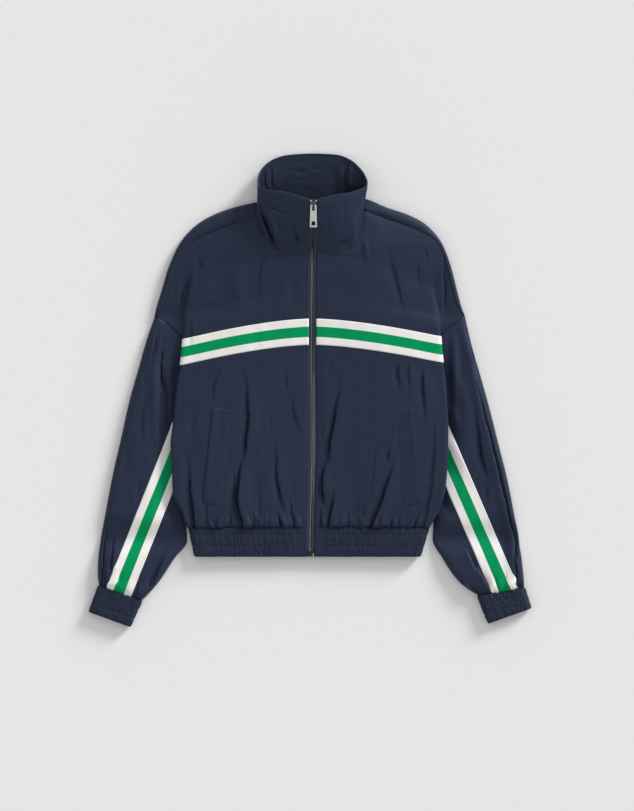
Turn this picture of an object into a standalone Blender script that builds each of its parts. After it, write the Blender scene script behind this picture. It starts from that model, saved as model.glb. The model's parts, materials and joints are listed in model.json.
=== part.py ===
# A zipped windbreaker with a stand collar, laid flat on its back.
# X runs across (the wearer's left is +X), Y runs up the garment from hem to collar,
# and Z is the height over the surface it lies on.  Sizes are in millimetres and
# become metres where the meshes are made.

import math
from collections import namedtuple

import bmesh
import bpy
import numpy as np
from mathutils import Matrix, Vector

MM = 0.001

# ---------------------------------------------------------------- driving sizes

CLOTH = 1.2            # shell cloth with its turned edges
BAND_CLOTH = 1.8       # gathered band: two layers over elastic
TRIM = 1.0             # striped tape (40 mm wide), welts and zip tape
GAP = 0.3              # space left at a seam
SEAM_TRIM = 0.4        # what each panel gives up at a seam
COLLAR_TRIM = 1.1      # what the collar gives up where it stands on the neck seam
LIFT = CLOTH / 2 + GAP + TRIM / 2 + 0.15

HEM_SEAM_Y = -214.7
HEM_END_Y = -257.3
NECK_Y = 211.6
ZIP_TOP_Y = 294.8
ZIP_TOP_X = 5.4        # the zip leans a little to the wearer's left
ZIP_END_X = 0.8
ZIP_OPENING = 6.0      # half the space between the two front edges
FACING_STOP = 5.6      # the collar facing ends this far behind the collar's own edge
CHAIN_HALF = 2.6
ZIP_DROP = 1.5         # the zip tape lies this far under the front edges
ZIP_LEVELS = (-214.7, -120.0, -20.0, 80.0, 150.0, 195.0, 211.6, 232.4, 253.2, 274.0)
FLOOR_Z = CLOTH / 2
ROW_DROOP = 1.5        # power of the curve in which the rows sag outwards
FOLD_REACH = 3.0       # half-round of the side fold

SIDES = {"left": 1, "right": -1}

# ---------------------------------------------------------------- tables

# height of the front edge along the zip
ZipHeight = namedtuple("ZipHeight", "y z")
ZIP_HEIGHTS = [ZipHeight(*row) for row in (
    (-257.3, 11.5), (-214.7, 13.0), (-120.0, 15.5), (-20.0, 17.0),
    (80.0, 18.5), (150.0, 22.0), (195.0, 26.0), (211.6, 27.5), (294.8, 55.0))]

# a front row: its height on the zip, the fold where the front turns under, and
# the seam behind it (side seam up to the armpit, then the armhole)
FrontRow = namedtuple("FrontRow", "zip_y fold_y fold_x top_z low_z seam_x seam_y seam_z")
FRONT_ROWS = {
    "right": [FrontRow(*row) for row in (
        (-214.7, -214.7, 187.6, 13.0, 7.5, 186.0, -214.7, 7.0),
        (-185.0, -187.0, 199.0, 17.0, 10.5, 195.0, -187.0, 10.2),
        (-150.0, -157.0, 212.4, 19.0, 11.5, 206.0, -157.0, 11.2),
        (-110.0, -120.0, 213.4, 20.0, 11.7, 204.0, -120.0, 11.4),
        (-70.0, -85.0, 215.6, 20.0, 11.7, 187.0, -85.0, 11.4),
        (-35.0, -55.0, 212.5, 19.5, 11.5, 164.0, -55.0, 11.2),
        (0.0, -25.0, 210.0, 19.0, 11.3, 140.0, -25.0, 11.0),
        (35.0, 5.0, 206.8, 18.5, 11.0, 134.0, 3.0, 10.0),
        (70.5, 39.1, 200.7, 18.0, 10.9, 155.0, 30.0, 9.8),
        (90.8, 59.5, 198.8, 17.5, 10.8, 172.0, 52.0, 9.7),
        (111.1, 79.8, 196.9, 17.0, 10.5, 190.0, 76.0, 9.5),
        (130.0, 100.0, 195.0, 16.5, 10.0, 215.5, 100.0, 9.3))],
    "left": [FrontRow(*row) for row in (
        (-214.7, -214.7, 184.5, 13.0, 7.5, 183.0, -214.7, 7.0),
        (-185.0, -187.0, 199.0, 17.0, 10.5, 194.0, -187.0, 10.2),
        (-150.0, -157.0, 208.5, 19.0, 11.5, 204.0, -157.0, 11.2),
        (-110.0, -120.0, 212.4, 20.0, 11.7, 203.0, -120.0, 11.4),
        (-70.0, -85.0, 213.9, 20.0, 11.7, 187.0, -85.0, 11.4),
        (-35.0, -55.0, 213.9, 19.5, 11.5, 164.0, -55.0, 11.2),
        (0.0, -25.0, 212.5, 19.0, 11.3, 140.0, -25.0, 11.0),
        (35.0, 5.0, 210.8, 18.5, 11.0, 134.0, 3.0, 10.0),
        (70.5, 43.0, 206.2, 18.0, 10.9, 155.0, 30.0, 9.8),
        (90.8, 63.0, 204.0, 17.5, 10.8, 172.0, 52.0, 9.7),
        (111.1, 84.0, 202.5, 17.0, 10.5, 190.0, 76.0, 9.5),
        (130.0, 103.0, 200.0, 16.5, 10.0, 215.5, 100.0, 9.3))],
}
TAPE_ROWS = (8, 9, 10)      # the front rows that run under the chest tape
FRONT_SHARES = (0.0, 0.16, 0.32, 0.48, 0.63, 0.77, 0.9)
FRONT_SWELL = 2.5      # how far a front row rises between zip and fold

# rows between the chest and the neck seam: their height on the zip, where they
# fold, and how much of the fold's step is left
UpperRow = namedtuple("UpperRow", "zip_y fold_x fold_left")
UPPER_ROWS = [UpperRow(*row) for row in (
    (147.0, 192.0, 1.0), (162.0, 189.0, 0.9), (178.0, 186.5, 0.75), (195.0, 183.5, 0.5))]
FOLD_STEP = 5.5
YOKE_SHARES = (0.0, 0.16, 0.32, 0.48, 0.63, 0.74, 0.83, 0.88, 0.92, 0.95, 0.98, 1.0)
YOKE_SWELL = 1.5

# the shoulder, from its end at the armhole up to the neck: the forward seam and
# the outer edge where the back turns over
Shoulder = namedtuple("Shoulder", "x y z edge_x edge_y")
SHOULDER = {
    "right": [Shoulder(*row) for row in (
        (237.2, 117.0, 7.5, 240.5, 115.0),
        (229.4, 128.0, 9.0, 238.0, 127.0),
        (223.2, 143.4, 10.0, 233.5, 142.0),
        (218.0, 162.0, 10.5, 227.5, 162.0),
        (210.8, 185.2, 11.0, 220.5, 186.0),
        (203.0, 202.0, 11.5, 214.0, 202.3),
        (192.2, 219.3, 12.0, 202.0, 227.0),
        (170.5, 236.4, 13.0, 178.0, 254.5),
        (140.0, 248.7, 14.0, 148.0, 272.5),
        (110.0, 260.8, 15.0, 116.0, 284.4),
        (82.9, 269.5, 16.5, 90.5, 291.0))],
    "left": [Shoulder(*row) for row in (
        (236.2, 118.0, 7.5, 239.5, 116.0),
        (228.5, 130.0, 8.5, 234.5, 129.0),
        (223.5, 145.0, 9.5, 230.0, 145.0),
        (219.0, 163.0, 10.0, 225.5, 163.0),
        (213.0, 187.0, 10.5, 219.5, 187.0),
        (208.0, 206.0, 11.0, 213.5, 206.0),
        (197.0, 230.0, 12.0, 202.0, 231.5),
        (170.0, 246.0, 13.0, 177.0, 258.5),
        (140.0, 258.8, 14.0, 149.0, 273.0),
        (110.0, 269.3, 15.0, 118.0, 284.0),
        (82.9, 278.2, 16.5, 90.5, 294.0))],
}

# the collar, a station every few centimetres from the zip round to the middle of
# the back: its neck seam below and its top edge
Station = namedtuple("Station", "neck_x neck_y neck_z top_x top_y top_z")
COLLAR = {
    "right": [Station(*row) for row in (
        (0.0, 211.6, 27.5, 0.0, 294.8, 55.0),
        (15.5, 211.6, 27.3, 14.7, 298.4, 54.5),
        (34.1, 212.7, 26.8, 31.0, 303.6, 53.0),
        (51.8, 218.6, 25.5, 46.5, 306.4, 50.5),
        (65.1, 231.7, 23.5, 62.0, 307.7, 46.5),
        (75.2, 248.8, 20.5, 73.6, 310.0, 42.0),
        (82.9, 269.5, 16.5, 79.8, 314.6, 38.0),
        (86.0, 282.9, 11.0, 82.2, 324.7, 30.5),
        (80.6, 289.1, 6.0, 79.1, 335.6, 22.5),
        (68.2, 286.0, 2.5, 71.3, 346.4, 15.0),
        (46.5, 281.3, 1.0, 55.8, 357.3, 8.0),
        (21.7, 279.0, 1.0, 34.1, 363.5, 4.5),
        (-3.1, 278.2, 1.0, -3.1, 365.8, 3.5))],
    "left": [Station(*row) for row in (
        (0.0, 211.6, 27.5, 0.0, 294.8, 55.0),
        (32.6, 211.6, 27.2, 27.9, 297.9, 54.5),
        (54.3, 217.3, 26.3, 42.6, 301.8, 53.0),
        (70.5, 224.0, 25.0, 57.4, 303.6, 50.5),
        (76.0, 239.5, 23.0, 70.5, 306.9, 47.0),
        (79.1, 258.1, 20.2, 81.4, 310.8, 42.5),
        (82.9, 278.2, 16.5, 88.4, 315.4, 38.0),
        (86.0, 287.0, 11.0, 89.9, 321.6, 31.5),
        (82.2, 292.5, 6.0, 84.5, 334.0, 22.5),
        (71.3, 289.0, 2.5, 76.0, 344.9, 15.0),
        (52.7, 282.9, 1.0, 62.0, 356.5, 8.0),
        (27.9, 279.0, 1.0, 40.3, 364.1, 4.5),
        (3.1, 278.2, 1.0, 3.1, 365.8, 3.5))],
}
NECK_CORNER = 6        # the station where the shoulder seam meets the collar
NECK_START = 10        # the shoulder row at that corner

# where the back panel reaches just before the neck seam, from the station after
# that corner round to the middle
RimPoint = namedtuple("RimPoint", "edge_x edge_y")
NECK_RIM = {
    "right": [RimPoint(*row) for row in (
        (89.8, 288.5), (81.5, 283.0), (67.0, 279.0), (45.5, 275.0), (21.5, 272.5), (-3.1, 272.0))],
    "left": [RimPoint(*row) for row in (
        (90.0, 291.5), (82.5, 286.0), (69.5, 282.0), (51.5, 276.5), (27.5, 272.5), (3.1, 272.0))],
}

# how far across the back its columns stand, from the armhole to the middle; one
# for each shoulder row and each neck station behind the corner
BACK_COLUMNS = (1.0, 0.95, 0.89, 0.83, 0.77, 0.7, 0.62, 0.54, 0.46,
                0.4, 0.345, 0.31, 0.27, 0.22, 0.15, 0.07, 0.0)

# a back row: the seam it ends on and how high its edge rides over the sleeve
BackRow = namedtuple("BackRow", "y edge_x sleeve_x lift")
BACK_ROWS = [BackRow(*row) for row in (
    (-214.7, 184.0, 193.0, 3.5), (-187.0, 194.0, 184.5, 8.4), (-157.0, 204.0, 171.5, 8.6),
    (-120.0, 203.0, 158.0, 8.6), (-85.0, 187.0, 147.0, 8.6), (-55.0, 164.0, 139.0, 8.6),
    (-25.0, 140.0, 131.5, 8.6), (-7.0, 127.0, 126.5, 8.0), (12.0, 141.0, 141.0, 3.0),
    (35.0, 158.5, 158.5, 0.0), (62.0, 179.5, 179.5, 0.0), (90.0, 202.5, 202.5, 0.0),
    (108.0, 227.0, 227.0, 0.0))]
BACK_RAMP = 28.0       # the back climbs on the sleeve over this width
RAMP_LEAD = 7.0        # and is up this far before it
DOME_STEPS = (0.35, 0.7, 1.0)

# a sleeve section: its outer edge, its underarm edge and how high it puffs
Section = namedtuple("Section", "outer_x outer_y inner_x inner_y puff")
SLEEVES = {
    "right": [Section(*row) for row in (
        (252.7, 78.3, 134.5, -33.0, 12.0), (265.0, 35.0, 141.5, -62.0, 13.0),
        (279.0, -14.7, 150.0, -92.0, 14.0), (293.0, -76.7, 163.0, -138.0, 14.5),
        (306.9, -138.7, 182.0, -181.0, 14.5), (315.5, -185.0, 192.0, -207.0, 14.5),
        (323.5, -228.0, 191.0, -233.0, 14.0), (327.5, -258.0, 210.0, -259.5, 14.0),
        (328.6, -281.0, 234.0, -296.0, 13.5), (327.0, -300.8, 259.5, -325.0, 12.5))],
    "left": [Section(*row) for row in (
        (249.5, 72.0, 134.5, -33.0, 12.0), (263.0, 25.0, 141.5, -62.0, 13.0),
        (277.0, -25.0, 150.0, -92.0, 14.0), (290.0, -76.7, 162.0, -138.0, 14.5),
        (305.4, -138.7, 181.0, -181.0, 14.5), (314.5, -185.0, 191.5, -207.0, 14.5),
        (321.5, -225.0, 190.5, -231.0, 14.0), (327.1, -258.0, 205.0, -259.0, 14.0),
        (330.2, -284.0, 231.0, -296.0, 13.5), (332.0, -304.8, 258.5, -317.0, 12.5))],
}
# the armhole from the shoulder point to the armpit, with the height of the front
# edge, and how far the sleeve top lies below it where the seam is folded under
ArmholePoint = namedtuple("ArmholePoint", "share x y z drop")
ARMHOLE = [ArmholePoint(*row) for row in (
    (0.0, 238.5, 115.0, 7.0, 0.0), (0.05, 233.5, 112.4, 8.5, 0.0), (0.16, 217.0, 100.5, 9.3, 0.2),
    (0.27, 201.5, 87.5, 9.5, 1.8), (0.42, 184.0, 67.0, 9.6, 4.0), (0.6, 165.0, 43.0, 9.7, 4.4),
    (0.8, 145.0, 17.5, 9.9, 4.6), (1.0, 126.2, -6.5, 10.0, 4.8))]
SLEEVE_SHARES = (0.12, 0.44, 0.76)      # columns between the outer edge and the tape
UNDERARM_SHARES = (0.35, 0.68, 0.9)     # columns between the tape and the underarm edge
# the two edges of the striped tape where it crosses TAPE_LINE_Y, and its slope
TapeLine = namedtuple("TapeLine", "outer_x inner_x slope")
TAPE_EDGES = {"right": TapeLine(301.0, 257.5, -0.4), "left": TapeLine(307.5, 262.5, -0.43)}
TAPE_LINE_Y = -270.0
UNDER_BODY_Z = 5.2     # top of a sleeve where the body lies on it
BODY_SHADOW = 32.0     # a sleeve swells to its full height over this width
EDGE_ROUND = 0.09      # share of a tube's width that rounds over at its edge

# cuffs: the four corners, at the sleeve and at the opening
Cuff = namedtuple("Cuff", "outer_x outer_y inner_x inner_y")
CUFFS = {
    "right": (Cuff(327.0, -301.6, 260.5, -326.0), Cuff(342.0, -343.0, 279.0, -366.0)),
    "left": (Cuff(332.3, -305.6, 259.4, -317.9), Cuff(342.0, -337.5, 276.5, -361.0)),
}
CUFF_HEIGHT = 12.5
CUFF_SHARES = (0.0, 0.025, 0.1, 0.3, 0.5, 0.7, 0.9, 0.975, 1.0)

# pocket welts: the outer and inner edge at the top and at the bottom
Welt = namedtuple("Welt", "outer_x outer_y inner_x inner_y")
WELTS = {
    "right": (Welt(150.4, -25.6, 124.0, -30.2), Welt(165.9, -174.4, 136.4, -179.0)),
    "left": (Welt(159.7, -25.6, 134.9, -28.7), Welt(171.3, -174.4, 143.4, -178.3)),
}

# hem band ends: half widths at the seam and at the bottom edge
HEM_WIDTHS = {"right": (187.6, 178.3), "left": (184.5, 170.5)}
HEM_HEIGHT = 12.5
HEM_FRONT_SHARES = (0.0, 0.2, 0.4, 0.6, 0.8, 0.94)
HEM_TURN = ((3.0, 11.2), (0.5, 8.6), (0.5, 5.0), (3.0, 2.0))   # inset and height round the side
HEM_BACK_SHARES = (0.95, 0.75, 0.5, 0.25)
HEM_TURN_WIDTH = 8.0

# zip hardware, size 5
CHAIN_THICK = 2.4
SLIDER_WIDTH = 9.0
SLIDER_LENGTH = 11.0
SLIDER_PLATE = 1.1
SLIDER_MOUTH = 1.7     # space between the slider's plates, where the tapes run
POST_WIDTH = 2.6
BRIDGE_WIDTH = 2.0
BRIDGE_LENGTH = 7.9
BRIDGE_OPENING = 5.5
BRIDGE_CLEAR = 2.3
BRIDGE_BAR = 1.2
AXIS_HEIGHT = 1.1      # the pull's end bar turns this far above the top plate
PULL_LENGTH = 35.0
PULL_TOP_WIDTH = 9.6
PULL_END_WIDTH = 11.4
PULL_THICK = 1.4
EYE_BAR = 0.7          # half the bar that turns in the bridge
EYE_LENGTH = 5.2
EYE_WIDTH = 4.2
WINDOW_TOP = 9.5       # the opening near the pull's end, measured from that end
WINDOW_END = 3.0
WINDOW_TOP_WIDTH = 4.8
WINDOW_END_WIDTH = 6.8
STOP_SIZE = (2.4, 2.2, 1.6)
SLIDER_DOWN = 3.2      # the closed slider stands this far below the collar's top
BOX_SIZE = (9.0, 8.0, 3.4)
BOX_END = 0.4          # the box ends this far above the hem's edge

# ---------------------------------------------------------------- materials

MATERIALS = {          # colour, roughness, metallic
    "navy_nylon": ((0.026, 0.033, 0.062), 0.5, 0.0),
    "navy_band": ((0.022, 0.028, 0.053), 0.55, 0.0),
    "navy_facing": ((0.018, 0.023, 0.043), 0.6, 0.0),
    "striped_tape": ((0.0, 0.28, 0.1), 0.7, 0.0),
    "zip_tape": ((0.02, 0.025, 0.045), 0.7, 0.0),
    "dark_metal": ((0.09, 0.09, 0.1), 0.35, 1.0),
    "bright_metal": ((0.6, 0.6, 0.6), 0.3, 1.0),
}


def material(name):
    colour, roughness, metallic = MATERIALS[name]
    made = bpy.data.materials.get(name) or bpy.data.materials.new(name)
    made.use_nodes = True
    shader = made.node_tree.nodes["Principled BSDF"]
    shader.inputs["Base Color"].default_value = (*colour, 1.0)
    shader.inputs["Roughness"].default_value = roughness
    shader.inputs["Metallic"].default_value = metallic
    return made


# ---------------------------------------------------------------- helpers


def through(table, key, value, at):
    """A smooth curve through two columns of a table, read at a place."""
    xs = np.array([getattr(row, key) for row in table], float)
    ys = np.array([getattr(row, value) for row in table], float)
    slopes = np.gradient(ys, xs)
    at = min(max(at, xs[0]), xs[-1])
    i = min(int(np.searchsorted(xs, at, side="right")) - 1, len(xs) - 2)
    step = xs[i + 1] - xs[i]
    t = (at - xs[i]) / step
    return ((1 + 2 * t) * (1 - t) ** 2 * ys[i] + t * (1 - t) ** 2 * step * slopes[i]
            + t * t * (3 - 2 * t) * ys[i + 1] - t * t * (1 - t) * step * slopes[i + 1])


def ease(value):
    t = min(max(value, 0.0), 1.0)
    return t * t * (3 - 2 * t)


def mix(a, b, share):
    return np.asarray(a, float) * (1 - share) + np.asarray(b, float) * share


def zip_x(y):
    return ZIP_END_X + (ZIP_TOP_X - ZIP_END_X) * (y - HEM_END_Y) / (ZIP_TOP_Y - HEM_END_Y)


def zip_z(y):
    return through(ZIP_HEIGHTS, "y", "z", y)


def front_edge(side, y):
    return np.array([zip_x(y) + SIDES[side] * ZIP_OPENING, y, zip_z(y)])


def place(side, x, y, z):
    return np.array([SIDES[side] * x, y, z])


def moved_to(point, other, distance):
    """The point moved by a distance towards another one."""
    step = other - point
    return point + step * (distance / np.linalg.norm(step))


def off_seam(seam, index, other, distance):
    """A seam point moved off its seam, square to it, towards the rest of its panel."""
    point = np.asarray(seam[index], float)
    along = np.asarray(seam[min(index + 1, len(seam) - 1)]) - np.asarray(seam[max(index - 1, 0)])
    along = along / np.linalg.norm(along)
    step = other - point
    step = step - along * np.dot(step, along)
    return point + step * (distance / np.linalg.norm(step))


def collection(name):
    found = bpy.data.collections.get(name)
    if not found:
        found = bpy.data.collections.new(name)
        bpy.context.scene.collection.children.link(found)
    return found


def add_object(name, mesh, finish, holder="windbreaker"):
    made = bpy.data.objects.new(name, mesh)
    made.data.materials.append(material(finish))
    collection(holder).objects.link(made)
    return made


def normals(grid, closed=False):
    """Unit normals of a grid of points."""
    if closed:
        across = np.roll(grid, -1, axis=1) - np.roll(grid, 1, axis=1)
    else:
        across = np.gradient(grid, axis=1)
    up = np.gradient(grid, axis=0)
    facing = np.cross(across, up)
    return facing / np.linalg.norm(facing, axis=2, keepdims=True)


def wall(name, grid, thickness, finish, closed=False):
    """A cloth wall around an open grid of points, or round a tube of them."""
    grid = np.asarray(grid, float)
    rows, columns = grid.shape[:2]
    shape = bmesh.new()
    corners = [[shape.verts.new(point * MM) for point in row] for row in grid]
    for r in range(rows - 1):
        for c in range(columns if closed else columns - 1):
            d = (c + 1) % columns
            shape.faces.new((corners[r][c], corners[r][d], corners[r + 1][d], corners[r + 1][c]))
    bmesh.ops.remove_doubles(shape, verts=shape.verts, dist=1e-6)
    mesh = bpy.data.meshes.new(name)
    shape.to_mesh(mesh)
    shape.free()
    made = add_object(name, mesh, finish)
    shell = made.modifiers.new("wall", "SOLIDIFY")
    shell.thickness = thickness * MM
    shell.offset = 0.0
    return made


# ---------------------------------------------------------------- fronts


def front_row(side, start, fold, top_z, low_z, seam, under):
    """One row of a front: across to the fold, round it and on to the seam."""
    row = []
    turn = fold[:2] - moved_to(fold[:2], start[:2], FOLD_REACH)
    for share in FRONT_SHARES:
        point = mix(start, (*(fold[:2] - turn), top_z), share)
        point[1] = start[1] + (fold[1] - start[1]) * share ** ROW_DROOP
        point[2] += FRONT_SWELL * math.sin(math.pi * share)
        row.append(point)
    row.append(np.array([*(fold[:2] - turn), top_z]))
    row.append(np.array([*fold[:2], (top_z + low_z) / 2]))
    last = np.array([*(fold[:2] - turn * under), low_z])
    row.append(last)
    row.append(mix(last, seam, 0.5))
    row.append(moved_to(seam, last, SEAM_TRIM))
    return row


def front_grid(side):
    rows = []
    for entry in FRONT_ROWS[side]:
        start = front_edge(side, entry.zip_y)
        fold = place(side, entry.fold_x, entry.fold_y, 0)
        seam = place(side, entry.seam_x, entry.seam_y, entry.seam_z)
        under = 1.0 if entry.seam_x < entry.fold_x else -1.0
        rows.append(front_row(side, start, fold, entry.top_z, entry.low_z, seam, under))
    shoulder = SHOULDER[side]
    collar = COLLAR[side]
    for point, upper in zip(shoulder, UPPER_ROWS):
        seam = place(side, point.x, point.y, point.z)
        low = point.z + 0.8
        fold = place(side, upper.fold_x, point.y + 3, 0)
        rows.append(front_row(side, front_edge(side, upper.zip_y), fold,
                              low + FOLD_STEP * upper.fold_left, low, seam, -1.0))
    # rows from the neck seam to the rest of the shoulder seam
    neck = [front_edge(side, NECK_Y)]
    neck += [place(side, s.neck_x, s.neck_y, s.neck_z) for s in collar[1:NECK_CORNER]]
    last = shoulder[NECK_START]
    corner = place(side, last.x, last.y, last.z)
    for index, (start, point) in enumerate(zip(neck, shoulder[len(UPPER_ROWS):NECK_START])):
        seam = place(side, point.x, point.y, point.z)
        row = []
        for share in YOKE_SHARES:
            spot = mix(start, seam, share)
            spot[2] += YOKE_SWELL * math.sin(math.pi * share)
            row.append(spot)
        row[-1] = moved_to(seam, row[-2], SEAM_TRIM)
        row[0] = off_seam(neck + [corner], index, row[1], SEAM_TRIM) if index else start
        rows.append(row)
    grid = np.array(rows)
    # the corner at the neck is cut short by a sliver
    tip = [mix(start, corner, 0.8) for start in grid[-1]]
    grid = np.concatenate([grid, [tip]])
    grid[0, :, 1] += SEAM_TRIM
    return grid


def chest_tape(side, grid):
    """The striped tape, from the front's own points across it to the side fold."""
    first, last = TAPE_ROWS[0], TAPE_ROWS[-1]
    lifted = grid + SIDES[side] * normals(grid) * LIFT
    strip = lifted[first:last + 1, :8].copy()
    strip[:, 0] = mix(strip[:, 0], strip[:, 1], 0.01)
    return strip


def plane_area(a, b):
    return a[0] * b[1] - a[1] * b[0]


def on_cloth(grid, side, x, y):
    """Height of a front's upper face at a place, from the grid cell under it."""
    upper = grid[:, :8]
    for r in range(upper.shape[0] - 1):
        for c in range(upper.shape[1] - 1):
            corners = (upper[r, c], upper[r, c + 1], upper[r + 1, c + 1], upper[r + 1, c])
            for a, b, d in ((0, 1, 2), (0, 2, 3)):
                p, q, s = corners[a], corners[b], corners[d]
                spot = np.array([x, y]) - p[:2]
                area = plane_area(q[:2] - p[:2], s[:2] - p[:2])
                u = plane_area(spot, s[:2] - p[:2]) / area
                v = plane_area(q[:2] - p[:2], spot) / area
                if u >= 0 and v >= 0 and u + v <= 1:
                    return p[2] + (q[2] - p[2]) * u + (s[2] - p[2]) * v
    raise ValueError(f"no cloth of the {side} front at {x}, {y}")


def welt(side, grid):
    top, bottom = WELTS[side]
    rows = []
    for share in np.linspace(0, 1, 9):
        outer = mix((top.outer_x, top.outer_y), (bottom.outer_x, bottom.outer_y), share)
        inner = mix((top.inner_x, top.inner_y), (bottom.inner_x, bottom.inner_y), share)
        row = []
        for across in (0.0, 0.33, 0.67, 1.0):
            x, y = mix(inner, outer, across)
            x *= SIDES[side]
            row.append(np.array([x, y, on_cloth(grid, side, x, y) + LIFT + 0.15]))
        rows.append(row)
    return np.array(rows)


# ---------------------------------------------------------------- back


def back_half(side):
    """Columns of the back from one armhole to the middle, hem to top."""
    rows = []
    for entry in BACK_ROWS:
        row = []
        for share in BACK_COLUMNS:
            x = share * (entry.edge_x - SEAM_TRIM)
            climb = ease((x - entry.sleeve_x + BACK_RAMP) / (BACK_RAMP - RAMP_LEAD))
            row.append(place(side, x, entry.y, FLOOR_Z + entry.lift * climb))
        rows.append(row)
    # places on the outer edge: shoulder, then round the neck
    collar = COLLAR[side]
    edges = [(p.edge_x, p.edge_y, p.x, p.y, p.z) for p in SHOULDER[side]]
    behind = collar[NECK_CORNER + 1:]
    edges += [(e.edge_x, e.edge_y, s.neck_x, s.neck_y, s.neck_z)
              for e, s in zip(NECK_RIM[side], behind)]
    base = rows[-1]
    seam_line = [place(side, x, y, z) for _, _, x, y, z in edges]
    floor_points = []
    wraps = []
    for index, (edge_x, edge_y, _, _, z) in enumerate(edges):
        edge = np.array([SIDES[side] * edge_x, edge_y, 0.0])
        seam = seam_line[index]
        inward = moved_to(edge, np.array([0.0, edge_y - 60.0, 0.0]), 4.0)
        floor = np.array([*inward[:2], FLOOR_Z + 0.3])
        middle = np.array([*edge[:2], max(z * 0.45, FLOOR_Z + 0.4)])
        upper = mix(edge, seam, 0.35)
        upper[2] = max(z * (0.88 if index < NECK_START else 0.68), FLOOR_Z + 0.4)
        floor_points.append(floor)
        trim = SEAM_TRIM if index < NECK_START else COLLAR_TRIM
        wraps.append((middle, upper, off_seam(seam_line, index, upper, trim)))
    for step in DOME_STEPS:
        rows.append([mix(start, end, step) for start, end in zip(base, floor_points)])
    for turn in range(3):
        rows.append([wrap[turn] for wrap in wraps])
    grid = np.array(rows)
    grid[0, :, 1] += SEAM_TRIM
    return grid


def back_grid():
    right = back_half("right")
    left = back_half("left")
    middle = (right[:, -1:] + left[:, -1:]) / 2
    # seen from outside, below, the columns run from the wearer's left to the right
    return np.concatenate([left[:, :-1], middle, right[:, :-1][:, ::-1]], axis=1)


# ---------------------------------------------------------------- sleeves


def fold_x_at(side, y):
    return through(FRONT_ROWS[side], "fold_y", "fold_x", y)


def tape_share(side, start, step, edge):
    """Where a sleeve section crosses one edge of the striped tape."""
    tape = TAPE_EDGES[side]
    edge_x = getattr(tape, edge)
    reach = edge_x + tape.slope * (start[1] - TAPE_LINE_Y) - start[0]
    return reach / (step[0] - tape.slope * step[1])


def tube_profile(share, top, floor=FLOOR_Z):
    """Upper and lower height across a flattened tube with rounded edges."""
    near = min(share, 1 - share)
    bend = math.sqrt(max(0.0, 1 - (1 - min(near / EDGE_ROUND, 1)) ** 2))
    middle = floor + min(3.0, (top - floor) / 2)
    return middle + (top - middle) * bend, middle - (middle - floor) * bend


def section_shares(side, start, step):
    first = tape_share(side, start, step, "outer_x")
    last = tape_share(side, start, step, "inner_x")
    shares = [0.0] + [first * s for s in SLEEVE_SHARES]
    shares += [first, (first + last) / 2, last]
    shares += [last + (1 - last) * s for s in UNDERARM_SHARES] + [0.985, 1.0]
    return shares


def sleeve_grid(side):
    rows = []
    # the armhole
    start = np.array([ARMHOLE[0].x, ARMHOLE[0].y])
    step = np.array([ARMHOLE[-1].x, ARMHOLE[-1].y]) - start
    shares = section_shares(side, start, step)
    ring = []
    for share in shares:
        x = through(ARMHOLE, "share", "x", share)
        y = through(ARMHOLE, "share", "y", share)
        top = through(ARMHOLE, "share", "z", share) - through(ARMHOLE, "share", "drop", share)
        ring.append((x, y, share, top))
    rows.append(ring)
    for entry in SLEEVES[side]:
        start = np.array([entry.outer_x, entry.outer_y])
        step = np.array([entry.inner_x, entry.inner_y]) - start
        ring = []
        for share in section_shares(side, start, step):
            x, y = start + step * share
            covered = ease((y - HEM_SEAM_Y + 22) / 22)
            if y > HEM_SEAM_Y:
                covered *= 1 - ease((x - fold_x_at(side, y)) / BODY_SHADOW)
            ring.append((x, y, share, entry.puff + (UNDER_BODY_Z - entry.puff) * covered))
        rows.append(ring)
    upper = np.zeros((len(rows), len(shares), 3))
    lower = upper.copy()
    for r, ring in enumerate(rows):
        for c, (x, y, share, top) in enumerate(ring):
            high, low = tube_profile(share, top)
            upper[r, c] = place(side, x, y, high)
            lower[r, c] = place(side, x, y, low)
    tube = np.concatenate([upper, lower[:, 1:-1][:, ::-1]], axis=1)
    # leave a seam's width free at the armhole
    for c in range(tube.shape[1]):
        tube[0, c] = moved_to(tube[0, c], tube[1, c], 2 * SEAM_TRIM)
    return tube, len(SLEEVE_SHARES) + 1


def sleeve_tape(side, tube, first_column):
    facing = normals(tube, closed=True)
    strip = (tube + SIDES[side] * facing * LIFT)[:, first_column:first_column + 3].copy()
    strip[0] = mix(strip[0], strip[1], 0.03)
    strip[-1] = mix(strip[-1], strip[-2], 0.04)
    return strip


def cuff_grid(side):
    top, opening = CUFFS[side]
    rows = []
    for share in (0.0, 0.4, 0.8, 1.0):
        outer = mix((top.outer_x, top.outer_y), (opening.outer_x, opening.outer_y), share)
        inner = mix((top.inner_x, top.inner_y), (opening.inner_x, opening.inner_y), share)
        upper = []
        lower = []
        for across in CUFF_SHARES:
            x, y = mix(outer, inner, across)
            high, low = tube_profile(across, CUFF_HEIGHT, BAND_CLOTH / 2)
            upper.append(place(side, x, y, high))
            lower.append(place(side, x, y, low))
        rows.append(upper + lower[1:-1][::-1])
    return np.array(rows)


# ---------------------------------------------------------------- hem band


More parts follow.
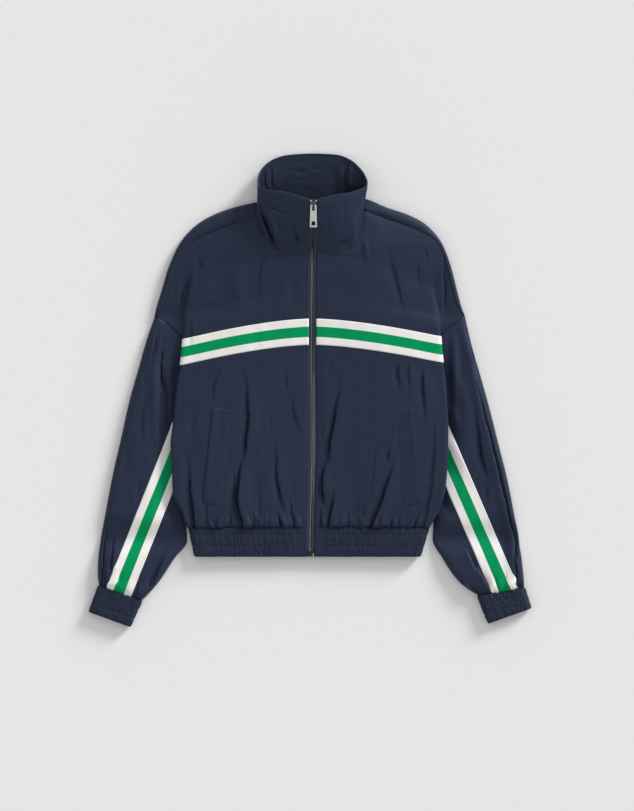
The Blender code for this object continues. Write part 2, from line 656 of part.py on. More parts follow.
def hem_grid():
    """One strip from the right of the zip round the back to its left."""
    rows = []
    for level in (0.0, 0.5, 1.0):
        y = (HEM_SEAM_Y - GAP) * (1 - level) + HEM_END_Y * level
        row = []
        for side in ("right", "left"):
            half = HEM_WIDTHS[side][0] * (1 - level) + HEM_WIDTHS[side][1] * level
            edge = front_edge(side, y)
            turn = place(side, half - HEM_TURN_WIDTH, y, HEM_HEIGHT)
            path = [mix(edge, turn, share / HEM_FRONT_SHARES[-1]) for share in HEM_FRONT_SHARES]
            for inset, height in HEM_TURN:
                path.append(place(side, half - inset, y, height))
            for share in HEM_BACK_SHARES:
                path.append(place(side, half * share - HEM_TURN_WIDTH / 2, y, BAND_CLOTH / 2))
            row += path if side == "right" else path[::-1]
        rows.append(row)
    return np.array(rows)


# ---------------------------------------------------------------- collar


def collar_grid():
    """Rows from the neck seam to the top edge, columns round from zip to zip."""
    stations = []
    for side in ("right", "left"):
        path = []
        for index, s in enumerate(COLLAR[side]):
            neck = place(side, s.neck_x, s.neck_y, s.neck_z)
            top = place(side, s.top_x, s.top_y, s.top_z)
            if index == 0:
                neck = front_edge(side, s.neck_y)
                top = front_edge(side, s.top_y)
            path.append((neck, top))
        stations += path if side == "right" else path[::-1][1:]
    seam = [neck for neck, _ in stations]
    rows = []
    for share in (0.0, 0.25, 0.5, 0.75, 1.0):
        row = []
        for index, (neck, top) in enumerate(stations):
            point = mix(neck, top, share)
            front = max(0.0, math.cos(math.pi * index / (len(stations) - 1) * 2))
            point[2] += (1.5 + 2.5 * front) * math.sin(math.pi * share)
            if share == 0.0:
                point = off_seam(seam, index, top, COLLAR_TRIM)
            row.append(point)
        rows.append(row)
    return np.array(rows)


def facing_grid(grid):
    """The inner collar, one layer inside the outer one."""
    inner = grid + normals(grid) * (CLOTH + GAP + 0.3)
    inner[0] = mix(inner[0], inner[1], 0.12)
    inner[-1] = mix(inner[-1], inner[-2], 0.04)
    # it stops at the zip tape, which lies between the two layers
    for end, toward in ((0, 1), (-1, -2)):
        for row in inner:
            row[end] = moved_to(row[end], row[toward], FACING_STOP)
    return inner


# ---------------------------------------------------------------- zip


def zip_strip(side):
    """One half of the zip tape, under the front edge from hem to collar top."""
    rows = []
    box_top = HEM_END_Y + BOX_END + BOX_SIZE[1] + GAP
    for y in (box_top, *ZIP_LEVELS, ZIP_TOP_Y - 0.3):
        inner = CHAIN_HALF + GAP
        row = []
        for offset in (inner, ZIP_OPENING - 0.5, 11.0):
            row.append(np.array([zip_x(y) + SIDES[side] * offset, y, collar_z(y) - ZIP_DROP - GAP]))
        rows.append(row)
    return np.array(rows)


def collar_z(y):
    """Height of the zip's opening edge: front below the neck, collar above it."""
    if y <= NECK_Y:
        return zip_z(y)
    share = (y - NECK_Y) / (ZIP_TOP_Y - NECK_Y)
    return mix(zip_z(NECK_Y), zip_z(ZIP_TOP_Y), share) + 4.0 * math.sin(math.pi * share)


def zip_chain(top_y):
    rows = []
    box_top = HEM_END_Y + BOX_END + BOX_SIZE[1] + GAP
    for y in (box_top, *ZIP_LEVELS, top_y):
        rows.append([np.array([zip_x(y) + offset, y, collar_z(y) - ZIP_DROP])
                     for offset in (-CHAIN_HALF, CHAIN_HALF)])
    return np.array(rows)


def box(name, size, spot, finish, turn=None, bevel=0.3):
    """A block with eased edges, its size and middle given in its own frame."""
    bpy.ops.mesh.primitive_cube_add(size=1.0)
    made = bpy.context.object
    made.name = name
    made.data.name = name
    made.data.transform(Matrix.Diagonal((*(s * MM for s in size), 1.0)))
    frame = turn if turn else Matrix.Identity(4)
    made.matrix_world = frame @ Matrix.Translation(Vector(spot) * MM)
    for holder in list(made.users_collection):
        holder.objects.unlink(made)
    collection("windbreaker").objects.link(made)
    made.data.materials.append(material(finish))
    if bevel:
        edge = made.modifiers.new("edges", "BEVEL")
        edge.width = bevel * MM
        edge.segments = 1
    return made


def join_solids(first, others):
    """Unite pieces of one casting; the others become hidden guides."""
    for other in others:
        union = first.modifiers.new("cast", "BOOLEAN")
        union.operation = "UNION"
        union.object = other
        for holder in list(other.users_collection):
            holder.objects.unlink(other)
        collection("cutters").objects.link(other)
        other.hide_render = True
        other.display_type = "WIRE"


def zip_frame():
    """The slider's own frame: its Y runs up the sloping zip."""
    high_y = ZIP_TOP_Y - SLIDER_DOWN
    low_y = high_y - SLIDER_LENGTH
    low = Vector((zip_x(low_y), low_y, collar_z(low_y) - ZIP_DROP - GAP)) * MM
    high = Vector((zip_x(high_y), high_y, collar_z(high_y) - ZIP_DROP - GAP)) * MM
    slope = math.atan2(high.z - low.z, high.y - low.y)
    return Matrix.Translation((low + high) / 2) @ Matrix.Rotation(slope, 4, "X")


def slider(frame):
    plate_z = SLIDER_MOUTH / 2 + SLIDER_PLATE / 2
    top = box("zip_slider", (SLIDER_WIDTH, SLIDER_LENGTH, SLIDER_PLATE), (0, 0, plate_z),
              "dark_metal", frame)
    bottom = box("slider_base", (SLIDER_WIDTH, SLIDER_LENGTH, SLIDER_PLATE), (0, 0, -plate_z),
                 "dark_metal", frame)
    post = box("slider_post", (POST_WIDTH, SLIDER_LENGTH * 0.5, SLIDER_MOUTH + SLIDER_PLATE),
               (0, 0, 0), "dark_metal", frame, bevel=0)
    deck = SLIDER_MOUTH / 2 + SLIDER_PLATE
    leg_length = (BRIDGE_LENGTH - BRIDGE_OPENING) / 2
    leg_place = (BRIDGE_LENGTH - leg_length) / 2
    leg_height = BRIDGE_CLEAR + BRIDGE_BAR
    guides = [bottom, post]
    for name, sign in (("bridge_front", -1), ("bridge_rear", 1)):
        guides.append(box(name, (BRIDGE_WIDTH, leg_length, leg_height + 0.4),
                          (0, sign * leg_place, deck + leg_height / 2 - 0.2), "dark_metal", frame, 0))
    guides.append(box("bridge_bar", (BRIDGE_WIDTH, BRIDGE_LENGTH - 0.6, BRIDGE_BAR),
                      (0, 0, deck + BRIDGE_CLEAR + BRIDGE_BAR / 2), "dark_metal", frame, 0))
    join_solids(top, guides)
    return top


def zip_ends(frame):
    """A top stop on each tape over the slider, and the box at the hem."""
    for side, sign in SIDES.items():
        spot = (sign * (CHAIN_HALF + GAP + STOP_SIZE[0] / 2),
                SLIDER_LENGTH / 2 + GAP + STOP_SIZE[1] / 2,
                TRIM / 2 + GAP + STOP_SIZE[2] / 2)
        box(f"zip_stop_{side}", STOP_SIZE, spot, "dark_metal", frame)
    y = HEM_END_Y + BOX_END + BOX_SIZE[1] / 2
    box("zip_box", BOX_SIZE, (zip_x(y), y, collar_z(y) - ZIP_DROP), "bright_metal")


def flat_outline(name, loops, thickness):
    """A flat plate: an outer loop and its holes, as a filled 2D curve."""
    flat = bpy.data.curves.new(name, "CURVE")
    flat.dimensions = "2D"
    flat.fill_mode = "BOTH"
    flat.extrude = thickness / 2 * MM
    for loop in loops:
        line = flat.splines.new("POLY")
        line.points.add(len(loop) - 1)
        for point, (x, y) in zip(line.points, loop):
            point.co = (x * MM, y * MM, 0, 1)
        line.use_cyclic_u = True
    return flat


def rounded(corners, radius, steps=3):
    """A loop through corners, each one cut by a short arc."""
    loop = []
    count = len(corners)
    for i in range(count):
        before = np.array(corners[i - 1], float)
        here = np.array(corners[i], float)
        after = np.array(corners[(i + 1) % count], float)
        enter = moved_to(here, before, radius)
        leave = moved_to(here, after, radius)
        for k in range(steps + 1):
            t = k / steps
            loop.append(tuple((1 - t) ** 2 * enter + 2 * t * (1 - t) * here + t * t * leave))
    return loop


def trapezoid(top_y, top_width, end_y, end_width):
    return [(-top_width / 2, top_y), (top_width / 2, top_y),
            (end_width / 2, end_y), (-end_width / 2, end_y)]


def pull_tab(frame):
    """The flat tab, hanging from the slider's bridge towards the hem."""
    tip = EYE_BAR
    end = tip - PULL_LENGTH
    outer = rounded(trapezoid(tip, PULL_TOP_WIDTH, end, PULL_END_WIDTH), 1.6)
    eye = rounded(trapezoid(-EYE_BAR, EYE_WIDTH, -EYE_BAR - EYE_LENGTH, EYE_WIDTH), 0.8)
    window = rounded(trapezoid(end + WINDOW_TOP, WINDOW_TOP_WIDTH, end + WINDOW_END, WINDOW_END_WIDTH), 0.9)
    flat = flat_outline("zip_pull_outline", [outer, eye, window], PULL_THICK)
    guide = bpy.data.objects.new("zip_pull_outline", flat)
    collection("cutters").objects.link(guide)
    bpy.context.view_layer.update()
    mesh = bpy.data.meshes.new_from_object(guide.evaluated_get(bpy.context.evaluated_depsgraph_get()))
    mesh.name = "zip_pull"
    bpy.data.objects.remove(guide)
    shape = bmesh.new()
    shape.from_mesh(mesh)
    bmesh.ops.remove_doubles(shape, verts=shape.verts, dist=1e-6)
    bmesh.ops.recalc_face_normals(shape, faces=shape.faces)
    shape.to_mesh(mesh)
    shape.free()
    mesh.materials.clear()
    tab = add_object("zip_pull", mesh, "bright_metal")
    axis = bpy.data.objects.new("pull_axis", None)
    collection("windbreaker").objects.link(axis)
    deck = SLIDER_MOUTH / 2 + SLIDER_PLATE
    axis.matrix_world = frame @ Matrix.Translation(Vector((0, 0, deck + AXIS_HEIGHT)) * MM)
    tab.parent = axis


# ---------------------------------------------------------------- the garment


def build():
    for old in list(bpy.data.objects):
        bpy.data.objects.remove(old)
    for side in SIDES:
        front = front_grid(side)
        wall(f"front_{side}", front, CLOTH, "navy_nylon")
        wall(f"chest_tape_{side}", chest_tape(side, front), TRIM, "striped_tape")
        wall(f"welt_{side}", welt(side, front), TRIM, "navy_nylon")
        tube, tape_column = sleeve_grid(side)
        wall(f"sleeve_{side}", tube, CLOTH, "navy_nylon", closed=True)
        wall(f"sleeve_tape_{side}", sleeve_tape(side, tube, tape_column), TRIM, "striped_tape")
        wall(f"cuff_{side}", cuff_grid(side), BAND_CLOTH, "navy_band", closed=True)
        wall(f"zip_tape_{side}", zip_strip(side), TRIM, "zip_tape")
    wall("back", back_grid(), CLOTH, "navy_nylon")
    wall("hem_band", hem_grid(), BAND_CLOTH, "navy_band")
    collar = collar_grid()
    wall("collar", collar, CLOTH, "navy_nylon")
    wall("collar_facing", facing_grid(collar), CLOTH, "navy_facing")
    frame = zip_frame()
    slider(frame)
    zip_ends(frame)
    pull_tab(frame)
    chain_top = ZIP_TOP_Y - SLIDER_DOWN - SLIDER_LENGTH - 0.6
    wall("zip_chain", zip_chain(chain_top), CHAIN_THICK, "dark_metal")


build()
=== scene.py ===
import json
import math

import bpy
import numpy as np
from mathutils import Matrix, Vector
from mathutils.bvhtree import BVHTree

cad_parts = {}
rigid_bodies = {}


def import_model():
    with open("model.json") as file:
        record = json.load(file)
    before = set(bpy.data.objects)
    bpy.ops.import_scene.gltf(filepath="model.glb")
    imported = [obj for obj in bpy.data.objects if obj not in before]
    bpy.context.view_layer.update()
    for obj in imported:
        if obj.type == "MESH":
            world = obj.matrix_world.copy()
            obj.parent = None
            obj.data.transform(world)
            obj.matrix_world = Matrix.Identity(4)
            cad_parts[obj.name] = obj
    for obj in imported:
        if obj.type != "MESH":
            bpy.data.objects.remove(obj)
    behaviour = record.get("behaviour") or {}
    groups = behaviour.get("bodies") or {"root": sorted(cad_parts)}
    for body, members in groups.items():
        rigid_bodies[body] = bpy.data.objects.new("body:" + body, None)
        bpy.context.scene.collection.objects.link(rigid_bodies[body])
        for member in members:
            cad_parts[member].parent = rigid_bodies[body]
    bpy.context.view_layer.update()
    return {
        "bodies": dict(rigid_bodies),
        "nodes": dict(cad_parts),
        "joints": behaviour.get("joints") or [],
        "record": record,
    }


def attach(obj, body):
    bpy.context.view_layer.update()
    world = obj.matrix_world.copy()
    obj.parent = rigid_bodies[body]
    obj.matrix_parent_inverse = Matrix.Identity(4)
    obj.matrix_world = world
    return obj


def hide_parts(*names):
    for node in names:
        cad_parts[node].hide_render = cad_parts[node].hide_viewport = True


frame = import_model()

body = "garment"
pullBody = "pull_tab"
mm = 0.001
sides = {"left": 1, "right": -1}      # the wearer's left lies at +X

# places that several pieces share, in mm
layout = {
    "hemSeamY": -214.7, "hemEndY": -257.3, "neckY": 211.6,
    "zipTopY": 294.8, "zipTopX": 5.4, "zipEndX": 0.8, "zipOpening": 6.0, "zipDrop": 1.1,
    "zipBow": (2.5, -85.0, 105.0),    # how far the zip bows sideways, where, and over what length
    "floorZ": 0.45, "rowDroop": 1.5, "foldReach": 3.0, "cloth": 0.7, "seamLap": 1.2, "leastGap": 2.0,
    "placket": (21.0, 6.0),           # beside the zip the cloth is plain up to here, then eases out
}


def ease(t):
    t = np.clip(t, 0.0, 1.0)
    return t * t * (3 - 2 * t)


def mixed(a, b, share):
    return np.asarray(a, float) * (1 - share) + np.asarray(b, float) * share


def bump(s, width):
    return np.exp(-(s / width) ** 2)


def besideZip(x, start, reach):
    return ease((np.abs(x) - start) / reach)


def seedOf(side, first):
    # the two halves of a pair are uneven in their own ways
    return first + (0 if side == "left" else 1)


def curveThrough(knots, values, at):
    # a smooth curve through rows of values that never overshoots them
    knots = np.asarray(knots, float)
    values = np.asarray(values, float)
    shape = (-1,) + (1,) * (values.ndim - 1)
    step = np.diff(knots)
    rise = np.diff(values, axis=0) / step.reshape(shape)
    slope = np.zeros_like(values)
    a = (2 * step[1:] + step[:-1]).reshape(shape)
    b = (step[1:] + 2 * step[:-1]).reshape(shape)
    with np.errstate(divide="ignore", invalid="ignore"):
        inner = (a + b) / (a / rise[:-1] + b / rise[1:])
    slope[1:-1] = np.where(rise[:-1] * rise[1:] > 0, inner, 0.0)
    slope[0], slope[-1] = rise[0], rise[-1]
    at = np.clip(np.atleast_1d(at), knots[0], knots[-1])
    i = np.clip(np.searchsorted(knots, at, side="right") - 1, 0, len(knots) - 2)
    t = ((at - knots[i]) / step[i]).reshape(shape)
    h = step[i].reshape(shape)
    return ((1 + 2 * t) * (1 - t) ** 2 * values[i] + t * (1 - t) ** 2 * h * slope[i]
            + t * t * (3 - 2 * t) * values[i + 1] - t * t * (1 - t) * h * slope[i + 1])


def stations(knots, step, least=2):
    # places along the knots, close enough to each other, the knots among them
    places = [knots[0]]
    for low, high in zip(knots[:-1], knots[1:]):
        count = max(least, int(math.ceil((high - low) / step)))
        places += list(np.linspace(low, high, count + 1)[1:])
    return np.array(places)


def chords(grid, axis):
    # mean distance along a grid of points, as knots in mm
    step = np.linalg.norm(np.diff(grid, axis=axis), axis=2).mean(axis=1 - axis)
    return np.concatenate([[0.0], np.cumsum(np.maximum(step, 0.05))])


class Cloth:
    # a panel: a fine grid of points, its rows and columns counted in mm

    def __init__(self, grid, rowStep, columnStep, ring=False, leastRows=2, leastColumns=2):
        grid = np.asarray(grid, float)
        self.ring = ring
        if ring:
            grid = np.concatenate([grid, grid[:, :1]], axis=1)
        self.rowKnots = chords(grid, 0)
        self.columnKnots = chords(grid, 1)
        self.v = stations(self.rowKnots, rowStep, leastRows)
        self.u = stations(self.columnKnots, columnStep, leastColumns)
        knots = self.columnKnots
        if ring:
            lap = knots[-1]
            knots = np.concatenate([knots[-3:-1] - lap, knots, knots[1:3] + lap])
            grid = np.concatenate([grid[:, -3:-1], grid, grid[:, 1:3]], axis=1)
        across = curveThrough(knots, grid.transpose(1, 0, 2), self.u).transpose(1, 0, 2)
        self.points = curveThrough(self.rowKnots, across, self.v)
        self.sign = 1.0

    @property
    def x(self):
        return self.points[..., 0]

    @property
    def y(self):
        return self.points[..., 1]

    def facing(self):
        if self.ring:
            wrap = np.concatenate([self.points[:, -2:-1], self.points, self.points[:, 1:2]], axis=1)
            across = wrap[:, 2:] - wrap[:, :-2]
        else:
            across = np.gradient(self.points, axis=1)
        normal = np.cross(across, np.gradient(self.points, axis=0)) * self.sign
        size = np.linalg.norm(normal, axis=2, keepdims=True)
        return normal / np.maximum(size, 1e-9)

    def faceUp(self, row=None, column=None):
        # settles which way is out, from one place that looks up
        row = len(self.v) // 2 if row is None else row
        column = len(self.u) // 4 if column is None else column
        if self.facing()[row, column, 2] < 0:
            self.sign = -self.sign
        return self

    def push(self, height):
        self.points = self.points + self.facing() * height[..., None]

    def upper(self, least=0.15, reach=0.4):
        # 1 where the panel looks up, 0 at its edges and below
        return ease((self.facing()[..., 2] - least) / reach)

    def area(self):
        across = np.diff(self.points, axis=1)[:-1]
        down = np.diff(self.points, axis=0)[:, :-1]
        return float(np.linalg.norm(np.cross(across, down), axis=2).sum()) * 1e-6

    def on(self, u, v, lift=0.0):
        # points on the panel, at columns u and rows v, and lifted off it
        lifted = self.points + self.facing() * lift
        u, v = np.broadcast_arrays(np.asarray(u, float), np.asarray(v, float))
        i = np.clip(np.searchsorted(self.v, v, side="right") - 1, 0, len(self.v) - 2)
        j = np.clip(np.searchsorted(self.u, u, side="right") - 1, 0, len(self.u) - 2)
        s = np.clip((v - self.v[i]) / (self.v[i + 1] - self.v[i]), 0, 1)[..., None]
        t = np.clip((u - self.u[j]) / (self.u[j + 1] - self.u[j]), 0, 1)[..., None]
        return ((lifted[i, j] * (1 - t) + lifted[i, j + 1] * t) * (1 - s)
                + (lifted[i + 1, j] * (1 - t) + lifted[i + 1, j + 1] * t) * s)

    def part(self, us, vs, lift):
        # a smaller panel that lies on this one
        made = Cloth.__new__(Cloth)
        made.u, made.v, made.ring, made.sign = np.asarray(us), np.asarray(vs), False, self.sign
        made.points = self.on(made.u[None, :], made.v[:, None], lift)
        return made


def zipX(y):
    share = (y - layout["hemEndY"]) / (layout["zipTopY"] - layout["hemEndY"])
    size, middle, reach = layout["zipBow"]
    straight = layout["zipEndX"] + (layout["zipTopX"] - layout["zipEndX"]) * share
    return straight + size * math.exp(-((y - middle) / reach) ** 2)


hemSeam = {                           # how the seam above the hem band rises, up to its sides, and wavers
    "rise": 3.0, "sideX": 190.0, "calm": (22.0, 8.0),
    "waves": ((0.55, 9.5, 1.3), (0.4, 4.3, 0.0), (0.35, 21.0, 0.4)),
}


def seamRise(x):
    wave = sum(size * np.sin(x / reach + start) for size, reach, start in hemSeam["waves"])
    rise = hemSeam["rise"] * (1 - 0.5 * (x / hemSeam["sideX"]) ** 2)
    return rise + wave * besideZip(x, *hemSeam["calm"])


zipHeights = {                        # height of the front edge along the zip
    "y": (-257.3, -214.7, -120.0, -20.0, 80.0, 150.0, 195.0, 211.6),
    "z": (11.5, 13.0, 15.5, 17.0, 18.5, 22.0, 26.0, 27.5),
    "collarTop": 55.0, "collarBulge": 4.0,
}


def zipZ(y):
    y = np.asarray(y, float)
    low = curveThrough(zipHeights["y"], zipHeights["z"], np.ravel(y)).reshape(y.shape)
    share = np.clip((y - layout["neckY"]) / (layout["zipTopY"] - layout["neckY"]), 0, 1)
    high = mixed(zipHeights["z"][-1], zipHeights["collarTop"], share)
    high = high + zipHeights["collarBulge"] * np.sin(np.pi * share)
    return np.where(y <= layout["neckY"], low, high)


def frontEdge(side, y):
    return np.array([zipX(y) + sides[side] * layout["zipOpening"], y, float(zipZ(y))])


def place(side, x, y, z=0.0):
    return np.array([sides[side] * x, y, z])


def movedTo(point, other, distance):
    step = other - point
    return point + step * (distance / np.linalg.norm(step))


crease = {                            # heights are shares of its depth, reaches are shares of its width
    "lip": 0.40, "lipReach": 2.6, "trough": 0.60, "troughReach": 2.2, "leastEdge": 0.8, "edgeShare": 0.2,
    "softLip": 0.25, "softLipAt": 2.0, "softTrough": 0.75,
    "lean": 0.42, "leanAt": 0.3, "leanWidth": 0.7, "runOn": 0.12,
    # the dark line of creases deeper than this many mm
    "crisp": 2.5, "slot": 1.05, "slotAt": 1.2, "slotWidth": 1.25, "slotFade": 1.3,
    # how far a crease wavers, and over what length, in mm
    "wander": ((0.5, 8.5), (0.3, 3.7)),
}


def creased(x, y, creases):
    # height of soft creases, each with a lip on its right (1), left (-1) or on both sides (0),
    # and how far a lip leans sideways over the line below it
    height = np.zeros_like(x)
    shift = np.zeros_like(x)
    for x0, y0, x1, y1, bow, depth, width, lip, peak in creases:
        heading = np.array([x1 - x0, y1 - y0])
        length = np.hypot(*heading)
        heading = heading / length
        t = ((x - x0) * heading[0] + (y - y0) * heading[1]) / length
        inside = np.clip(t, 0, 1)
        s = -(x - x0) * heading[1] + (y - y0) * heading[0] - bow * 4 * inside * (1 - inside)
        for (size, reach), start in zip(crease["wander"], (x0, y0)):
            s = s + size * np.sin(length * t / reach + start)
        rising = ease(t / peak)
        runsOn = y1 < layout["hemSeamY"] + 6 and y0 > layout["hemSeamY"]
        if runsOn:
            falling = ease((1 + crease["runOn"] - t) / crease["runOn"])
        else:
            falling = ease((1 - t) / (1 - peak))
        fade = rising * falling
        if lip:
            s = s * lip
            edge = max(crease["leastEdge"], crease["edgeShare"] * width)
            step = ease(s / (2 * edge) + 0.5)
            profile = (crease["lip"] * step * bump(s, crease["lipReach"] * width)
                       - crease["trough"] * (1 - step) * bump(s, crease["troughReach"] * width))
            slot = crease["slot"] * max(depth - crease["crisp"], 0.0)
            line = bump(s + crease["slotAt"], crease["slotWidth"])
            height = height - slot * fade ** crease["slotFade"] * line
            lean = -lip * crease["lean"] * bump(s - crease["leanAt"] * width, crease["leanWidth"] * width)
            shift = shift - fade * depth * lean * heading[1]
        else:
            profile = (crease["softLip"] * bump(np.abs(s) - crease["softLipAt"] * width, width)
                       - crease["softTrough"] * bump(s, width))
        height = height + depth * fade * profile
    return height, shift


driftWaves = 14


def drift(x, y, seed, reachX, reachY, size):
    # slow unevenness of laid cloth
    chance = np.random.default_rng(seed)
    total = np.zeros_like(x)
    for _ in range(driftWaves):
        kx = chance.normal() / reachX
        ky = chance.normal() / reachY
        total = total + np.cos(kx * x + ky * y + chance.uniform(0, 2 * np.pi))
    return total * size / math.sqrt(driftWaves)


def gathers(cloth, seed, spacing, depth, reach, fromEnd, sharp=1.3):
    # small uneven folds that run into a seam, each with its own length
    chance = np.random.default_rng(seed)
    total = np.zeros(cloth.points.shape[:2])
    far = np.abs(cloth.v[:, None] - fromEnd)
    spot = 0.0
    while spot < cloth.u[-1]:
        spot += spacing * chance.uniform(0.4, 1.7)
        size = 0.2 + 0.95 * chance.uniform() ** 2
        run = reach * (0.35 + 1.2 * size * chance.uniform(0.5, 1.1))
        lean = chance.normal() * 0.2
        off = cloth.u[None, :] - spot - lean * far
        fold = 0.4 * bump(off - 2.4 * sharp, 2.6 * sharp) - bump(off, sharp + 0.02 * far)
        total += depth * size * fold * np.exp(-(far / run) ** 2)
    return total + depth * 0.12 * np.exp(-(far / reach) ** 2)


def keepApart(cloth, before, upper):
    # creases in an upper layer of cloth stop short of the layer below it
    least = np.minimum(before, layout["floorZ"] + layout["leastGap"])
    high = cloth.points[..., 2]
    cloth.points[..., 2] = np.where(upper > 0, np.maximum(high, least), high)


uvUnit = 10.0           # the weave is drawn in cm of cloth


def buildMesh(name, cloth, thickness, finishes, faceFinish=None):
    rows, columns = len(cloth.v), len(cloth.u)
    points = cloth.points
    uCount = columns - 1 if cloth.ring else columns
    verts = points[:, :uCount].reshape(-1, 3) * mm
    r = np.arange(rows - 1)[:, None]
    c = np.arange(columns - 1)[None, :]
    d = (c + 1) % uCount
    corners = np.stack([r * uCount + c, r * uCount + d, (r + 1) * uCount + d, (r + 1) * uCount + c], axis=-1)
    uvs = np.stack(np.broadcast_arrays(
        np.stack([cloth.u[c], cloth.u[c + 1], cloth.u[c + 1], cloth.u[c]], axis=-1) / uvUnit,
        np.stack([cloth.v[r], cloth.v[r], cloth.v[r + 1], cloth.v[r + 1]], axis=-1) / uvUnit), axis=-1)
    if cloth.sign < 0:
        corners, uvs = corners[..., ::-1], uvs[..., ::-1, :]
    faces = corners.reshape(-1, 4)
    mesh = bpy.data.meshes.new(name)
    mesh.vertices.add(len(verts))
    mesh.vertices.foreach_set("co", verts.ravel())
    mesh.loops.add(faces.size)
    mesh.loops.foreach_set("vertex_index", faces.ravel().astype(np.int32))
    mesh.polygons.add(len(faces))
    mesh.polygons.foreach_set("loop_start", np.arange(0, faces.size, 4, dtype=np.int32))
    layer = mesh.uv_layers.new(name="cloth")
    layer.data.foreach_set("uv", uvs.reshape(-1, 2).ravel().astype(np.float32))
    mesh.update(calc_edges=True)
    mesh.validate()
    mesh.shade_smooth()
    for finish in finishes:
        mesh.materials.append(finish)
    if faceFinish is not None:
        index = np.broadcast_to(faceFinish, (rows - 1, columns - 1)).ravel().astype(np.int32)
        mesh.polygons.foreach_set("material_index", index)
    made = bpy.data.objects.new(name, mesh)
    bpy.context.scene.collection.objects.link(made)
    shell = made.modifiers.new("shell", "SOLIDIFY")
    shell.thickness = thickness * mm
    shell.offset = 0.0
    return made


def settle(made, slot, *nodes, rides=body):
    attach(made, rides)
    if nodes:
        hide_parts(*nodes)
    return made


class Wire:
    # one socket of a look, so that shader maths reads as an expression

    def __init__(self, look, socket):
        self.look = look
        self.socket = socket

    def maths(self, operation, other):
        return self.look.node("Math", {"operation": operation}, {0: self, 1: other})

    def __add__(self, other):
        return self.maths("ADD", other)

    def __mul__(self, other):
        return self.maths("MULTIPLY", other)

    __radd__ = __add__
    __rmul__ = __mul__


ribTurn = 0.314         # pitch of a wave texture at scale 1


def shaded(colour, share):
    return tuple(c * share for c in colour[:3]) + (1,)


class Look:
    # a material and its nodes

    def __init__(self, name, fixed):
        self.material = bpy.data.materials.new(name)
        self.material.use_nodes = True
        self.tree = self.material.node_tree
        self.shader = self.tree.nodes["Principled BSDF"]
        for key, value in fixed.items():
            self.shader.inputs[key].default_value = value

    def node(self, kind, settings, inputs, out=0):
        made = self.tree.nodes.new("ShaderNode" + kind)
        for key, value in settings.items():
            setattr(made, key, value)
        for key, value in inputs.items():
            socket = made.inputs[key]
            if isinstance(value, Wire):
                self.tree.links.new(value.socket, socket)
            else:
                socket.default_value = value
        return Wire(self, made.outputs[out])

    def feed(self, socket, wire):
        self.tree.links.new(wire.socket, self.shader.inputs[socket])

    def blend(self, factor, a, b):
        return self.node("Mix", {"data_type": "RGBA"}, {0: factor, 6: a, 7: b}, out=2)

    def bumped(self, height):
        # relief in mm
        self.feed("Normal", self.node("Bump", {}, {"Height": height, "Distance": mm, "Strength": 1.0}))

    def clothSpot(self, stretch=None):
        # a place on the cloth in cm, which a stretch drags out into streaks
        spot = self.node("UVMap", {"uv_map": "cloth"}, {})
        if stretch:
            spot = self.node("VectorMath", {"operation": "MULTIPLY"}, {0: spot, 1: (*stretch, 1)})
        return spot

    def modelSpot(self):
        return self.node("TexCoord", {}, {}, out=3)

    def noise(self, spot, scale, detail, roughness=0.5):
        inputs = {"Vector": spot, "Scale": scale, "Detail": detail, "Roughness": roughness}
        return self.node("TexNoise", {}, inputs)

    def ribs(self, spot, direction, pitch, wander=0.0, detail=2.0):
        # ribs a pitch apart along one direction of the cloth
        inputs = {"Vector": spot, "Scale": ribTurn / pitch, "Distortion": wander, "Detail": detail}
        return self.node("TexWave", {"bands_direction": direction}, inputs, out=1)


print("looks")

# sizes of a cloth finish are in cm, its relief in mm
nylon = {
    "colour": (0.0135, 0.0205, 0.0450, 1), "lift": (0.0165, 0.0245, 0.0525, 1), "toneRange": (0.36, 0.64),
    "streaks": (2.3, 0.22), "slubs": (0.25, 2.1), "fineScale": 2.2, "fineRelief": 0.7, "crinkle": 0.22,
    "weavePitch": 0.055, "weaveWander": 0.6, "weaveDepth": 0.03,
    "roughness": 0.47, "roughnessRange": 0.1, "sheen": 0.04, "sheenRoughness": 0.4, "specular": 0.16,
}


def nylonLook(name, shade=1.0, crinkle=1.0, roughness=0.0):
    look = Look(name, {"Sheen Weight": nylon["sheen"], "Sheen Roughness": nylon["sheenRoughness"],
                       "Specular IOR Level": nylon["specular"]})
    spot = look.clothSpot()
    streaks = look.noise(look.clothSpot(nylon["streaks"]), 1.0, 3.0)
    slubs = look.noise(look.clothSpot(nylon["slubs"]), 1.0, 3.0)
    fine = look.noise(spot, nylon["fineScale"], 4.0, 0.6)
    warp, weft = (look.ribs(spot, direction, nylon["weavePitch"], nylon["weaveWander"]) for direction in "XY")
    grain = streaks * 0.5 + slubs * 0.5
    lowTone, highTone = nylon["toneRange"]
    tone = look.node("MapRange", {}, {0: grain, 1: lowTone, 2: highTone})
    look.feed("Base Color", look.blend(tone, shaded(nylon["colour"], shade), shaded(nylon["lift"], shade)))
    look.feed("Roughness", fine * nylon["roughnessRange"] + (nylon["roughness"] + roughness))
    relief = (grain + fine * nylon["fineRelief"]) * (nylon["crinkle"] * crinkle)
    look.bumped(relief + (warp + weft) * nylon["weaveDepth"])
    return look.material


ribbon = {
    "white": (0.845, 0.83, 0.80, 1), "green": (0.0002, 0.285, 0.099, 1), "shade": 0.9,
    "rib": 0.075, "ribWander": 0.8, "ribTone": 0.35, "ribDepth": 0.10, "fineScale": 3.0, "fineTone": 0.4,
    "fineDepth": 0.12, "roughness": 0.62, "specular": 0.05,
}


